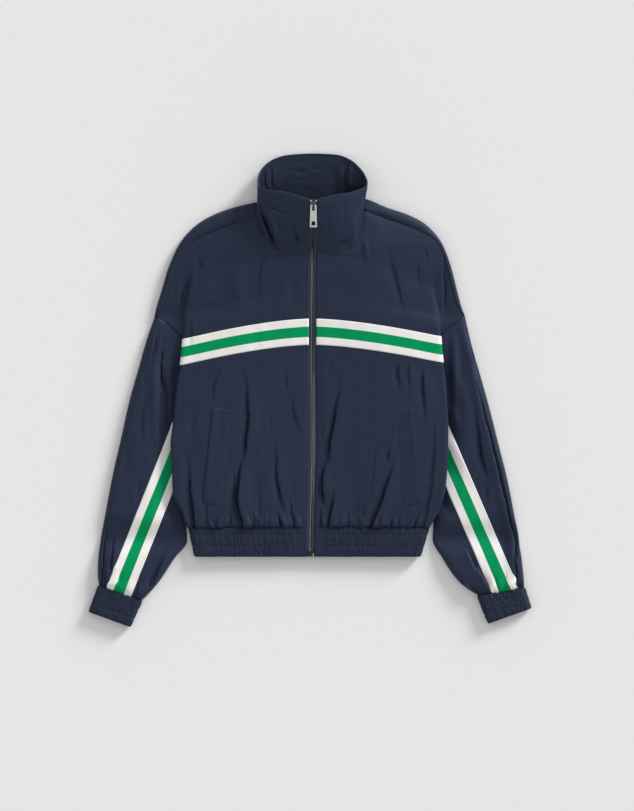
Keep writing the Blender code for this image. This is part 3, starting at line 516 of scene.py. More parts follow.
def ribbonLook(name, colour):
    look = Look(name, {"Roughness": ribbon["roughness"], "Specular IOR Level": ribbon["specular"]})
    spot = look.clothSpot()
    ribs = look.ribs(spot, "X", ribbon["rib"], ribbon["ribWander"], detail=1.0)
    fine = look.noise(spot, ribbon["fineScale"], 4.0)
    tone = ribs * ribbon["ribTone"] + fine * ribbon["fineTone"]
    look.feed("Base Color", look.blend(tone, colour, shaded(colour, ribbon["shade"])))
    look.bumped(ribs * ribbon["ribDepth"] + fine * ribbon["fineDepth"])
    return look.material


zipCloth = {
    "dark": (0.013, 0.019, 0.040, 1), "light": (0.024, 0.033, 0.066, 1), "rib": 0.09, "ribDepth": 0.25,
    "roughness": 0.7, "sheen": 0.1,
}


def tapeLook(name):
    look = Look(name, {"Roughness": zipCloth["roughness"], "Sheen Weight": zipCloth["sheen"]})
    ribs = look.ribs(look.clothSpot(), "Y", zipCloth["rib"])
    look.feed("Base Color", look.blend(ribs, zipCloth["dark"], zipCloth["light"]))
    look.bumped(ribs * zipCloth["ribDepth"])
    return look.material


metal = {"wearScale": 420.0, "wearShade": 0.72, "wearRoughness": 0.18}


def metalLook(name, colour, roughness, grain):
    look = Look(name, {"Metallic": 1.0})
    wear = look.noise(look.modelSpot(), metal["wearScale"], 4.0)
    look.feed("Base Color", look.blend(wear, shaded(colour, metal["wearShade"]), colour))
    look.feed("Roughness", wear * metal["wearRoughness"] + roughness)
    look.bumped(wear * grain)
    return look.material


thread = {"twistScale": 900.0, "shade": 0.7, "roughness": 0.55, "sheen": 0.2}


def threadLook(name, colour):
    look = Look(name, {"Roughness": thread["roughness"], "Sheen Weight": thread["sheen"]})
    twist = look.noise(look.modelSpot(), thread["twistScale"], 2.0)
    look.feed("Base Color", look.blend(twist, shaded(colour, thread["shade"]), colour))
    return look.material


looks = {
    "shell": nylonLook("navyNylon"),
    "band": nylonLook("navyBand", shade=0.9, crinkle=0.8, roughness=0.06),
    # the collar facing is the shell nylon painted darker: painted shade inside the collar
    "facing": nylonLook("navyFacingPaintedShade", shade=0.78, crinkle=0.9),
    "white": ribbonLook("whiteTape", ribbon["white"]),
    "green": ribbonLook("greenTape", ribbon["green"]),
    "zipTape": tapeLook("zipTape"),
    "darkMetal": metalLook("gunmetal", (0.20, 0.20, 0.21, 1), 0.28, 0.05),
    "teeth": metalLook("zipTeeth", (0.72, 0.72, 0.71, 1), 0.28, 0.05),
    # tooth crowns painted dim where the zip shows no glint: painted shade
    "paintedDimTeeth": metalLook("paintedDimTeeth", (0.20, 0.20, 0.21, 1), 0.34, 0.05),
    # near-black metal: painted shade on the tooth bodies; also used on the slider bridge and the end box
    "shadedMetal": metalLook("shadedMetal", (0.045, 0.047, 0.055, 1), 0.36, 0.05),
    "brightMetal": metalLook("polishedNickel", (0.80, 0.79, 0.77, 1), 0.18, 0.02),
    "navyThread": threadLook("navyThread", (0.0135, 0.0200, 0.0430, 1)),
    "whiteThread": threadLook("whiteThread", (0.75, 0.73, 0.70, 1)),
}

print("fronts")

# rows of a front, in mm: height on the zip, the fold where it turns under at the side,
# heights of the upper and lower layer there, and the seam behind
frontRows = {
    "right": (
        (-214.7, -214.7, 187.6, 13.0, 7.5, 186.0, -214.7, 7.0),
        (-185.0, -187.0, 199.0, 17.0, 10.5, 195.0, -187.0, 10.2),
        (-150.0, -157.0, 212.4, 19.0, 11.5, 206.0, -157.0, 11.2),
        (-110.0, -120.0, 213.4, 20.0, 11.7, 204.0, -120.0, 11.4),
        (-70.0, -85.0, 215.6, 20.0, 11.7, 187.0, -85.0, 11.4),
        (-35.0, -55.0, 212.5, 19.5, 11.5, 164.0, -55.0, 11.2),
        (0.0, -25.0, 210.0, 19.0, 11.3, 140.0, -25.0, 11.0),
        (35.0, 5.0, 206.8, 18.5, 11.0, 134.0, 3.0, 10.0),
        (70.5, 39.1, 200.7, 18.0, 10.9, 155.0, 30.0, 9.8),
        (90.8, 59.5, 198.8, 17.5, 10.8, 172.0, 52.0, 9.7),
        (111.1, 79.8, 196.9, 17.0, 10.5, 190.0, 76.0, 9.5),
        (130.0, 100.0, 195.0, 16.5, 10.0, 215.5, 100.0, 9.3)),
    "left": (
        (-214.7, -214.7, 184.5, 13.0, 7.5, 183.0, -214.7, 7.0),
        (-185.0, -187.0, 199.0, 17.0, 10.5, 194.0, -187.0, 10.2),
        (-150.0, -157.0, 208.5, 19.0, 11.5, 204.0, -157.0, 11.2),
        (-110.0, -120.0, 212.4, 20.0, 11.7, 203.0, -120.0, 11.4),
        (-70.0, -85.0, 213.9, 20.0, 11.7, 187.0, -85.0, 11.4),
        (-35.0, -55.0, 213.9, 19.5, 11.5, 164.0, -55.0, 11.2),
        (0.0, -25.0, 212.5, 19.0, 11.3, 140.0, -25.0, 11.0),
        (35.0, 5.0, 210.8, 18.5, 11.0, 134.0, 3.0, 10.0),
        (70.5, 43.0, 206.2, 18.0, 10.9, 155.0, 30.0, 9.8),
        (90.8, 63.0, 204.0, 17.5, 10.8, 172.0, 52.0, 9.7),
        (111.1, 84.0, 202.5, 17.0, 10.5, 190.0, 76.0, 9.5),
        (130.0, 103.0, 200.0, 16.5, 10.0, 215.5, 100.0, 9.3)),
}
# the shoulder from the armhole to the neck: the forward seam, and the edge where the back turns over
shoulders = {
    "right": (
        (237.2, 117.0, 7.5, 240.5, 115.0), (229.4, 128.0, 9.0, 238.0, 127.0),
        (223.2, 143.4, 10.0, 233.5, 142.0), (218.0, 162.0, 10.5, 227.5, 162.0),
        (210.8, 185.2, 11.0, 220.5, 186.0), (203.0, 202.0, 11.5, 214.0, 202.3),
        (192.2, 219.3, 12.0, 202.0, 227.0), (170.5, 236.4, 13.0, 178.0, 254.5),
        (140.0, 248.7, 14.0, 148.0, 272.5), (110.0, 260.8, 15.0, 116.0, 283.6),
        (82.9, 269.5, 16.5, 93.0, 289.0)),
    "left": (
        (236.2, 118.0, 7.5, 239.5, 116.0), (228.5, 130.0, 8.5, 234.5, 129.0),
        (223.5, 145.0, 9.5, 230.0, 145.0), (219.0, 163.0, 10.0, 225.5, 163.0),
        (213.0, 187.0, 10.5, 219.5, 187.0), (208.0, 206.0, 11.0, 213.5, 206.0),
        (197.0, 230.0, 12.0, 202.0, 231.5), (170.0, 246.0, 13.0, 177.0, 258.5),
        (140.0, 258.8, 14.0, 149.0, 273.0), (110.0, 269.3, 15.0, 118.0, 283.4),
        (82.9, 278.2, 16.5, 93.5, 294.0)),
}
# the collar from the zip round to the middle of the back: its neck seam and its top edge
collarStations = {
    "right": (
        (0.0, 211.6, 27.5, 0.0, 294.8, 55.0), (15.5, 211.6, 27.3, 14.7, 298.4, 54.5),
        (34.1, 212.7, 26.8, 31.0, 303.6, 53.0), (51.8, 218.6, 25.5, 46.5, 306.4, 50.5),
        (65.1, 231.7, 23.5, 62.0, 307.7, 46.5), (75.2, 248.8, 20.5, 73.6, 310.0, 42.0),
        (82.9, 269.5, 16.5, 79.8, 314.6, 38.0), (81.8, 283.4, 11.0, 81.0, 324.7, 30.5),
        (78.2, 289.1, 6.0, 78.6, 335.6, 22.5), (68.2, 286.0, 2.5, 71.3, 346.4, 15.0),
        (46.5, 281.3, 1.0, 55.8, 357.3, 8.0), (21.7, 279.0, 1.0, 34.1, 363.5, 4.5),
        (-3.1, 278.2, 1.0, -3.1, 365.8, 3.5)),
    "left": (
        (0.0, 211.6, 27.5, 0.0, 294.8, 55.0), (32.6, 211.6, 27.2, 27.9, 297.9, 54.5),
        (54.3, 217.3, 26.3, 42.6, 301.8, 53.0), (70.5, 224.0, 25.0, 57.4, 303.6, 50.5),
        (76.0, 239.5, 23.0, 70.5, 306.9, 47.0), (79.1, 258.1, 20.2, 81.4, 310.8, 42.5),
        (82.9, 278.2, 16.5, 88.4, 315.4, 38.0), (84.0, 287.0, 11.0, 89.0, 321.6, 31.5),
        (82.2, 292.5, 6.0, 84.5, 334.0, 22.5), (71.3, 289.0, 2.5, 76.0, 344.9, 15.0),
        (52.7, 282.9, 1.0, 62.0, 356.5, 8.0), (27.9, 279.0, 1.0, 40.3, 364.1, 4.5),
        (3.1, 278.2, 1.0, 3.1, 365.8, 3.5)),
}
neckCorner = 6          # the collar station at the shoulder seam

front = {
    "rowStep": 2.9, "columnStep": 1.25, "swell": 2.5, "yokeSwell": 1.5,
    "shares": (0.0, 0.16, 0.32, 0.48, 0.63, 0.77, 0.9),
    "yokeShares": (0.0, 0.16, 0.32, 0.48, 0.63, 0.74, 0.83, 0.88, 0.92, 0.95, 0.98, 1.0),
    "upperRows": {
        "right": ((147.0, 195.5, 1.05), (162.0, 193.0, 1.0), (178.0, 190.0, 0.85), (195.0, 187.0, 0.6)),
        "left": ((147.0, 197.5, 0.88), (162.0, 195.0, 0.62), (178.0, 192.0, 0.38), (195.0, 189.0, 0.18))},
    "foldOut": 3.0, "upperLift": 0.8, "foldTall": 5.5, "cornerShare": 0.97,
    "turnIn": 2.6, "turnBack": 0.7, "turnDrop": 0.9,
    # rows and columns of the grid that other pieces go by
    "edgeColumn": 1, "foldColumn": 10, "tapeRows": (8, 10), "seamRow": 12, "neckRow": 16,
    "yokeFrom": 104.0, "yokeReach": 34.0, "dipFrom": 95.0,
    # unevenness: reach across, reach along, size; gathers: spacing, depth, reach, where, width
    "slowDrift": (26, 90, 0.30), "fineDrift": (7, 42, 0.20),
    "blouse": 0.7, "blouseAt": 8.0, "blouseReach": 9.0, "folds": (9.0, 2.6, 16, 0.0, 1.25),
    "seamDip": 1.0, "seamWidth": 1.3, "hemDip": 0.9, "stitchIn": 6.0, "stitchDip": 0.25,
    "flat": (0.255, 0.495), "flatArea": 0.1035,
}

# creases on the fronts, in mm: from, to, sideways bow, depth, width, lip side, where it is deepest
frontCreases = {
    "right": (
        (-107, 50, -103, -116, 12, 6.0, 5.0, 1, 0.75), (-97, -84, -99, -216, -10, 9.1, 6.0, 1, 0.72),
        (-189, -86, -174, -217, -1, 6.8, 4.5, 1, 0.85), (-206, -166, -189, -215, 1, 5.2, 4.0, 1, 0.8),
        (-121, -110, -107, -198, 2, 3.1, 3.5, 1, 0.6), (-51, -58, -36, -196, -6, 4.2, 4.5, 1, 0.7),
        (-33, -158, -21, -217, 1, 4.2, 2.6, 1, 0.9), (-55, -182, -40, -216, 1, 4.4, 3.0, 1, 0.85),
        (-93, -178, -83, -216, 1, 3.9, 3.0, 1, 0.9), (-147, -192, -141, -216, 1, 3.6, 2.6, 1, 0.95),
        (-180, -14, -185, -78, 0, 2.1, 5.5, 0, 0.6), (-135, 44, -151, -22, -2, 2.6, 5.0, 1, 0.5),
        (-35, 36, -37, -4, 0, 1.8, 4.0, 1, 0.5), (-27, 0, -11, -76, -3, 2.2, 4.0, 1, 0.5),
        (-63, -34, -62, -66, 0, 1.6, 3.5, 0, 0.5), (-69, -190, -67, -216, 0, 2.1, 2.4, 1, 0.95),
        (-66, 224, -78, 142, -2, 2.4, 4.0, 1, 0.4), (-96, 172, -108, 136, -1, 1.8, 4.0, -1, 0.5),
        (-86, 200, -96, 132, -2, 1.9, 11.0, 0, 0.5), (-172, 214, -160, 184, -3, 1.4, 4.0, 1, 0.5),
        (-128, 226, -150, 120, 2, 1.7, 14.0, 0, 0.5), (-140, 10, -146, -100, 3, 1.4, 13.0, 0, 0.6),
        (-75, -96, -78, -216, 1, 1.7, 8.0, 1, 0.85), (-158, -120, -157, -216, 0, 2.0, 7.0, 1, 0.9),
        (-120, -170, -122, -217, 0, 2.9, 3.0, 1, 0.95), (-13, -176, -11, -217, 0, 1.6, 3.0, 0, 0.9),
        (-182, 120, -186, 52, 2, 1.8, 5.0, 1, 0.5), (-202, 100, -182, 206, 2, 4.2, 4.6, 0, 0.45),
        (-30, 190, -26, 118, 2, 1.3, 8.0, 0, 0.5)),
    "left": (
        (51, 34, 27, -124, 1, 6.2, 5.5, 1, 0.72), (29, -96, 27, -188, -6, 7.0, 4.6, 1, 0.6),
        (38, -144, 32, -214, 1, 5.7, 3.8, 1, 0.75), (133, -92, 97, -217, 4, 7.5, 5.5, 1, 0.7),
        (125, -80, 122, -116, 0, 2.9, 3.6, 1, 0.55), (16, -178, 22, -217, -1, 3.9, 2.6, 1, 0.9),
        (136, 46, 141, -8, 1, 3.6, 4.5, 1, 0.35), (153, 46, 155, -6, 0, 2.6, 4.0, 1, 0.4),
        (173, 46, 178, -60, 3, 3.9, 5.0, 1, 0.4), (190, -12, 178, -212, 9, 2.9, 6.0, 1, 0.6),
        (73, -190, 81, -217, 0, 3.4, 2.6, 1, 0.95), (90, -172, 82, -202, 0, 2.1, 3.2, 1, 0.6),
        (124, -192, 130, -217, 0, 3.4, 2.6, 1, 0.95), (161, -194, 150, -217, 0, 3.1, 2.8, 1, 0.95),
        (176, -176, 162, -216, 0, 3.4, 3.4, 1, 0.9), (47, -192, 46, -216, 0, 2.9, 2.4, 1, 0.95),
        (42, 54, 27, 22, 0, 1.8, 4.5, 1, 0.5), (24, -50, 19, -80, 0, 1.6, 4.0, 1, 0.5),
        (116, 230, 148, 110, 4, 2.7, 5.0, 1, 0.55), (81, 244, 85, 178, 1, 1.4, 4.5, 1, 0.4),
        (88, 240, 91, 186, 1, 1.4, 4.0, -1, 0.4), (178, 226, 185, 196, 0, 1.2, 3.6, 1, 0.5),
        (169, 206, 169, 160, 0, 1.4, 4.0, 1, 0.5), (204, 222, 206, 88, 1, 4.0, 3.4, -1, 0.5),
        (70, -80, 64, -216, 2, 1.7, 10.0, 0, 0.8), (104, -60, 92, -180, 2, 1.6, 8.0, 1, 0.6),
        (140, -186, 139, -217, 0, 2.3, 2.8, 1, 0.95), (58, -170, 62, -217, 0, 2.3, 3.0, 1, 0.95),
        (108, -186, 112, -217, 0, 2.1, 2.6, 1, 0.95), (60, 190, 44, 120, 2, 1.4, 10.0, 0, 0.5)),
}


def frontRow(start, fold, topZ, lowZ, seam, under):
    row = []
    turn = fold[:2] - movedTo(fold[:2], start[:2], layout["foldReach"])
    turned = np.array([*(fold[:2] - turn), topZ])
    for share in front["shares"]:
        point = mixed(start, turned, share)
        point[1] = start[1] + (fold[1] - start[1]) * share ** layout["rowDroop"]
        point[2] += front["swell"] * math.sin(math.pi * share)
        row.append(point)
    last = np.array([*(fold[:2] - turn * under), lowZ])
    row += [turned, np.array([*fold[:2], (topZ + lowZ) / 2]), last, mixed(last, seam, 0.5)]
    row.append(movedTo(seam, last, -layout["seamLap"]))
    return row


def frontGrid(side):
    rows = []
    for zipY, foldY, foldX, topZ, lowZ, seamX, seamY, seamZ in frontRows[side]:
        under = 1.0 if seamX < foldX else -1.0
        rows.append(frontRow(frontEdge(side, zipY), place(side, foldX, foldY), topZ, lowZ,
                             place(side, seamX, seamY, seamZ), under))
    shoulder = shoulders[side]
    for point, (zipY, foldX, foldLeft) in zip(shoulder, front["upperRows"][side]):
        low = point[2] + front["upperLift"]
        fold = place(side, foldX, point[1] + front["foldOut"])
        rows.append(frontRow(frontEdge(side, zipY), fold, low + front["foldTall"] * foldLeft, low,
                             place(side, *point[:3]), -1.0))
    neck = [frontEdge(side, layout["neckY"])]
    neck += [place(side, *s[:3]) for s in collarStations[side][1:neckCorner]]
    corner = place(side, *shoulder[-1][:3])
    first = len(front["upperRows"][side])
    for start, point in zip(neck, shoulder[first:-1]):
        seam = place(side, *point[:3])
        row = [mixed(start, seam, share) for share in front["yokeShares"]]
        for spot, share in zip(row, front["yokeShares"]):
            spot[2] += front["yokeSwell"] * math.sin(math.pi * share)
        row[-1] = movedTo(seam, row[-2], -layout["seamLap"])
        rows.append(row)
    rows.append([mixed(start, corner, front["cornerShare"]) for start in rows[-1]])
    # the edge along the zip is turned in, the one along the neck runs under the collar
    grid = np.array(rows)
    turned = grid[:, :1] + [sides[side] * front["turnIn"], 0.0, -front["turnDrop"]]
    edge = grid[:, :1] + [0.0, 0.0, -front["turnDrop"] / 2]
    inner = grid[:, :1] + [sides[side] * front["turnBack"], 0.0, 0.0]
    return np.concatenate([turned, edge, inner, grid[:, 1:]], axis=1)


def makeFront(side):
    cloth = Cloth(frontGrid(side), front["rowStep"], front["columnStep"], leastRows=3)
    cloth.faceUp()
    foldAt = cloth.columnKnots[front["foldColumn"]]
    seamAt = cloth.columnKnots[-1]
    cloth.edgeAt = cloth.columnKnots[front["edgeColumn"]]
    cloth.foldAt = foldAt
    upper = (ease((foldAt + 3 - cloth.u) / 5) * ease((cloth.u - cloth.edgeAt - 1) / 6))[None, :]
    onYoke = ease((cloth.y - front["yokeFrom"]) / front["yokeReach"])
    upper = np.maximum(upper, onYoke * ease((seamAt - cloth.u) / 6)[None, :])
    x, y = cloth.x.copy(), cloth.y.copy()
    before = cloth.points[..., 2].copy()
    height, shift = creased(x, y, frontCreases[side])
    height = height + drift(x, y, seedOf(side, 11), *front["slowDrift"])
    height = height + drift(x, y, seedOf(side, 21), *front["fineDrift"])
    # the cloth bags over the hem band, and dips into its seams
    down = cloth.v[:, None]
    height = height + front["blouse"] * bump(down - front["blouseAt"], front["blouseReach"])
    placket = besideZip(x, *layout["placket"])
    height = height + gathers(cloth, seedOf(side, 31), *front["folds"]) * placket
    cloth.points[..., 2] += height * upper
    cloth.points[..., 0] += shift * upper
    endDip = front["seamDip"] * bump(cloth.u - seamAt, front["seamWidth"])[None, :]
    topDip = front["seamDip"] * bump(cloth.v[-1] - down, 1.5)
    across = np.clip((cloth.u - cloth.edgeAt) / (foldAt - cloth.edgeAt), 0, 1)[None, :]
    hemDip = (front["swell"] * np.sin(np.pi * across) + front["hemDip"] * placket) * np.exp(-down / 1.5)
    stitchDip = front["stitchDip"] * bump(cloth.u - cloth.edgeAt - front["stitchIn"], 0.8)[None, :]
    cloth.points[..., 2] -= hemDip * ease((foldAt - cloth.u) / 10)[None, :]
    cloth.points[..., 1] += seamRise(x) * bump(down, 24) * ease((foldAt + 4 - cloth.u) / 6)[None, :]
    cloth.points[..., 2] -= np.maximum(endDip, topDip) * (cloth.y > front["dipFrom"]) + stitchDip
    keepApart(cloth, before, upper)
    return cloth


fronts = {}
for side in sides:
    cloth = makeFront(side)
    fronts[side] = cloth
    made = buildMesh("front" + side.title(), cloth, layout["cloth"], [looks["shell"]])
    settle(made, "shell", "front_" + side)
    print("  front", side, round(cloth.area(), 4))

print("back")

neckRims = {
    "right": ((83.0, 291.0), (77.5, 285.5), (67.0, 279.0), (45.5, 275.0), (21.5, 272.5), (-3.1, 272.0)),
    "left": ((84.5, 296.8), (80.5, 289.5), (69.5, 282.0), (51.5, 276.5), (27.5, 272.5), (3.1, 272.0)),
}
back = {
    "step": 3.8, "ramp": 28.0, "rampLead": 7.0, "dome": (0.35, 0.7, 1.0), "domeTo": (60.0, 4.0),
    # on the shoulder and round the neck: how far over the edge turns, and how high it stands there
    "over": {"shoulder": (0.24, 0.95), "neck": (0.35, 0.68)},
    "drift": (30, 60, 0.35), "overDrift": (12, 26, 0.3),
    # just above the hem the back lifts off the surface: how much, where and how wide
    "hemLift": (1.6, 9.0, 7.0), "hemLiftTo": (150.0, 30.0), "hemLiftBelow": -150.0,
    "columns": (1.0, 0.95, 0.89, 0.83, 0.77, 0.7, 0.62, 0.54, 0.46,
                0.4, 0.345, 0.31, 0.27, 0.22, 0.15, 0.07, 0.0),
    # height on the garment, seam, edge of the sleeve under it, how high it rides there
    "rows": (
        (-214.7, 184.0, 193.0, 3.5), (-187.0, 194.0, 184.5, 8.4), (-157.0, 204.0, 171.5, 8.6),
        (-120.0, 203.0, 158.0, 8.6), (-85.0, 187.0, 147.0, 8.6), (-55.0, 164.0, 139.0, 8.6),
        (-25.0, 140.0, 131.5, 8.6), (-7.0, 127.0, 126.5, 8.0), (12.0, 141.0, 141.0, 3.0),
        (35.0, 158.5, 158.5, 0.0), (62.0, 179.5, 179.5, 0.0), (90.0, 202.5, 202.5, 0.0),
        (108.0, 227.0, 227.0, 0.0)),
    "creases": (
        (-150, -60, -120, -214, 6, 1.7, 8.0, 1, 0.8), (-92, -120, -84, -214, -4, 1.5, 6.0, 1, 0.85),
        (-40, -150, -46, -214, 2, 1.3, 5.0, 0, 0.9), (4, -168, 2, -214, 0, 1.2, 4.5, 1, 0.9),
        (48, -130, 40, -214, 4, 1.6, 6.0, -1, 0.85), (96, -96, 78, -214, 5, 1.7, 7.0, 1, 0.85),
        (140, -150, 128, -214, -2, 1.3, 4.5, 0, 0.9), (-120, 90, -96, -40, 8, 1.3, 11.0, 1, 0.4),
        (120, 96, 92, -30, -8, 1.4, 10.0, -1, 0.45), (-30, 210, -52, 90, 4, 1.1, 9.0, 0, 0.5),
        (40, 214, 60, 110, -5, 1.2, 9.0, 1, 0.5), (-150, 160, -110, 120, 3, 1.0, 7.0, 0, 0.5)),
    "overCreases": (
        (-176, 246, -96, 276, -1, 0.7, 2.2, 1, 0.5), (150, 262, 96, 282, 1, 0.35, 3.0, 1, 0.5),
        (-97, 290, -92, 268, 0, 0.9, 3.0, 1, 0.5), (96, 296, 90, 276, 0, 0.9, 3.0, 1, 0.5)),
    "flat": (0.50, 0.60), "flatArea": 0.246,
}


def backHalf(side):
    rows = []
    for y, edgeX, sleeveX, lift in back["rows"]:
        row = []
        for share in back["columns"]:
            x = share * edgeX
            climb = float(ease((x - sleeveX + back["ramp"]) / (back["ramp"] - back["rampLead"])))
            row.append(place(side, x, y, layout["floorZ"] + lift * climb))
        rows.append(row)
    behind = collarStations[side][neckCorner + 1:]
    edges = [(p[3], p[4], *p[:3], "shoulder") for p in shoulders[side][:-1]]
    edges += [(p[3], p[4], *p[:3], "neck") for p in shoulders[side][-1:]]
    edges += [(*rim, *station[:3], "neck") for rim, station in zip(neckRims[side], behind)]
    below, inward = back["domeTo"]
    floor, wraps = [], []
    for edgeX, edgeY, x, y, z, part in edges:
        edge = place(side, edgeX, edgeY)
        seam = place(side, x, y, z)
        share, stand = back["over"][part]
        spot = movedTo(edge, np.array([0.0, edgeY - below, 0.0]), inward)
        middle = np.array([*edge[:2], max(z * 0.45, layout["floorZ"] + 0.4)])
        high = mixed(edge, seam, share)
        high[2] = max(z * stand, layout["floorZ"] + 0.6)
        floor.append(np.array([*spot[:2], layout["floorZ"] + 0.3]))
        wraps.append((middle, high, seam + [0.0, 0.0, 0.25]))
    armholeRow = rows[-1]
    for step in back["dome"]:
        rows.append([mixed(start, end, step) for start, end in zip(armholeRow, floor)])
    return np.array(rows + list(zip(*wraps)))


def makeBack():
    right, left = backHalf("right"), backHalf("left")
    middle = (right[:, -1:] + left[:, -1:]) / 2
    grid = np.concatenate([left[:, :-1], middle, right[:, :-1][:, ::-1]], axis=1)
    cloth = Cloth(grid, back["step"], back["step"])
    cloth.faceUp(column=len(cloth.u) // 2)
    cloth.sign = -cloth.sign
    low = ease((-cloth.facing()[..., 2] - 0.3) / 0.4) * ease((cloth.v[:, None] - 3) / 10)
    height, _ = creased(cloth.x, cloth.y, back["creases"])
    reachX, reachY, size = back["drift"]
    height = height - size * np.abs(drift(cloth.x, cloth.y, 41, reachX, reachY, 1.0))
    cloth.points[..., 2] += np.maximum(-height, 0) * low
    lift, start, reach = back["hemLift"]
    endX, easeX = back["hemLiftTo"]
    lift = lift * bump(cloth.v[:, None] - start, reach) * ease((endX - np.abs(cloth.x)) / easeX)
    cloth.points[..., 2] += lift * (cloth.y < back["hemLiftBelow"])
    # over the shoulder the cloth is slightly uneven
    over = cloth.upper(0.1, 0.4)
    height, _ = creased(cloth.x, cloth.y, back["overCreases"])
    cloth.points[..., 2] += over * (height + drift(cloth.x, cloth.y, 42, *back["overDrift"]))
    return cloth


backCloth = makeBack()
made = buildMesh("backPanel", backCloth, layout["cloth"], [looks["shell"]])
settle(made, "shell", "back")
print("  back", round(backCloth.area(), 4))

print("sleeves")

sleeveSections = {                    # outer edge, underarm edge, height of the puff
    "right": (
        (252.7, 78.3, 134.5, -33.0, 12.0), (265.0, 35.0, 141.5, -62.0, 13.0),
        (279.0, -14.7, 150.0, -92.0, 13.0), (293.0, -76.7, 163.0, -138.0, 13.0),
        (306.9, -138.7, 182.0, -181.0, 12.5), (315.5, -185.0, 192.0, -207.0, 12.5),
        (323.5, -228.0, 191.0, -233.0, 12.5), (327.5, -258.0, 210.0, -259.5, 13.0),
        (328.6, -281.0, 234.0, -296.0, 13.5), (327.0, -300.8, 259.5, -325.0, 12.5)),
    "left": (
        (249.5, 72.0, 134.5, -33.0, 12.0), (263.0, 25.0, 141.5, -62.0, 13.0),
        (277.0, -25.0, 150.0, -92.0, 13.0), (290.0, -76.7, 162.0, -138.0, 13.0),
        (305.4, -138.7, 181.0, -181.0, 12.5), (314.5, -185.0, 191.5, -207.0, 12.5),
        (321.5, -225.0, 190.5, -231.0, 12.5), (327.1, -258.0, 205.0, -259.0, 13.0),
        (330.2, -284.0, 231.0, -296.0, 13.5), (332.0, -304.8, 258.5, -317.0, 12.5)),
}
sleeve = {
    "rowStep": 3.6, "columnStep": 1.35, "edgeRound": 0.09,
    "underBodyZ": 3.6, "hemShadow": (60.0, 64.0), "bodyShadow": {"right": 38.0, "left": 22.0},
    # the armhole: share of its length, place, height and how far the sleeve lies below it
    "armhole": ((0.0, 239.2, 117.0, 7.0, 0.2), (0.05, 233.5, 112.4, 8.5, 0.7), (0.16, 217.0, 100.5, 9.3, 0.8),
                (0.27, 201.5, 87.5, 9.5, 1.5), (0.42, 184.0, 67.0, 9.6, 3.4), (0.6, 165.0, 43.0, 9.7, 4.4),
                (0.8, 145.0, 17.5, 9.9, 4.6), (1.0, 126.2, -6.5, 10.0, 4.8)),
    "shares": (0.12, 0.44, 0.76), "underarmShares": (0.35, 0.68, 0.9), "lastShare": 0.985,
    "tapeY": -270.0, "tape": {"right": (301.0, 257.5, -0.4), "left": (307.5, 262.5, -0.43)},
    "tapeColumns": (4, 6), "lap": 0.9,
    "slowDrift": (22, 55, 0.28), "fineDrift": (7, 30, 0.16), "folds": (5.5, 1.9, 17),
    "endDip": 2.4, "blouse": (1.4, 11.0, 8.0), "hiddenShift": (6, -12), "hiddenDepth": (0.8, 0.6),
    "flat": (0.372, 0.455), "flatArea": 0.128,
}
sleeveCreases = {
    "right": (
        (-231, 84, -221, -20, -2, 5.5, 5.5, 1, 0.6), (-250, 12, -258, -94, -2, 2.6, 7.0, 1, 0.5),
        (-268, -132, -271, -184, 0, 2.3, 4.5, -1, 0.5), (-306, -214, -305, -274, 2, 3.4, 4.5, 1, 0.7),
        (-233, 112, -249, 16, -3, 4.0, 3.6, -1, 0.5), (-313, -188, -325, -300, -2, 4.4, 3.0, -1, 0.7),
        (-228, 108, -232, -120, -3, 4.6, 3.6, -1, 0.35), (-222, 60, -214, -70, -2, 5.0, 4.0, 1, 0.6),
        (-241, 84, -236, -110, -3, -2.6, 5.0, 0, 0.4),
        (-214, -236, -244, -308, -2, 4.4, 5.0, 1, 0.7), (-226, -244, -250, -310, 0, 2.9, 3.6, 1, 0.8),
        (-316, -262, -314, -302, 0, 2.9, 2.6, 1, 0.95), (-298, -262, -297, -305, 0, 2.6, 2.6, -1, 0.95),
        (-262, -276, -268, -322, 0, 2.6, 2.6, 1, 0.95), (-279, -282, -283, -316, 0, 1.8, 2.4, 1, 0.95),
        (-284, -60, -292, -150, 2, 1.7, 7.0, 0, 0.5), (-246, 60, -262, -10, 2, 1.8, 8.0, 1, 0.5),
        (-237, -60, -244, -110, 1, 1.6, 5.0, 1, 0.5)),
    "left": (
        (236, 122, 256, 6, 2, 5.4, 3.4, -1, 0.6), (249, 40, 314, -238, 1, 7.4, 3.2, -1, 0.55),
        (309, -200, 317, -303, 1, 5.4, 3.0, -1, 0.75), (270, 10, 322, -222, 5, 3.2, 3.2, -1, 0.5),
        (212, 104, 218, -60, 1, 3.0, 5.5, 0, 0.4), (222, 112, 224, -90, 1, -3.4, 4.6, 0, 0.35),
        (254, 4, 277, -146, -1, 4.4, 4.4, 1, 0.7), (277, -140, 275, -176, 1, 2.3, 4.0, 1, 0.5),
        (236, -236, 258, -282, 1, 3.4, 3.6, -1, 0.8), (254, -268, 280, -314, 1, 6.0, 3.6, -1, 0.75),
        (232, -288, 262, -318, -1, 3.1, 3.6, -1, 0.8), (304, -270, 306, -308, 0, 2.6, 2.6, 1, 0.95),
        (322, -262, 321, -306, 0, 2.6, 2.6, 1, 0.95), (290, -276, 291, -312, 0, 1.8, 2.4, 1, 0.95),
        (242, 40, 250, -40, 0, 1.8, 8.0, 0, 0.5), (286, -60, 300, -140, 0, 1.6, 7.0, 0, 0.5)),
}


def sectionShares(side, start, step):
    outer, inner, slope = sleeve["tape"][side]
    edges = [(edge + slope * (start[1] - sleeve["tapeY"]) - start[0]) / (step[0] - slope * step[1])
             for edge in (outer, inner)]
    first, last = edges
    shares = [0.0] + [first * s for s in sleeve["shares"]] + [first, (first + last) / 2, last]
    shares += [last + (1 - last) * s for s in sleeve["underarmShares"]]
    return shares + [sleeve["lastShare"], 1.0]


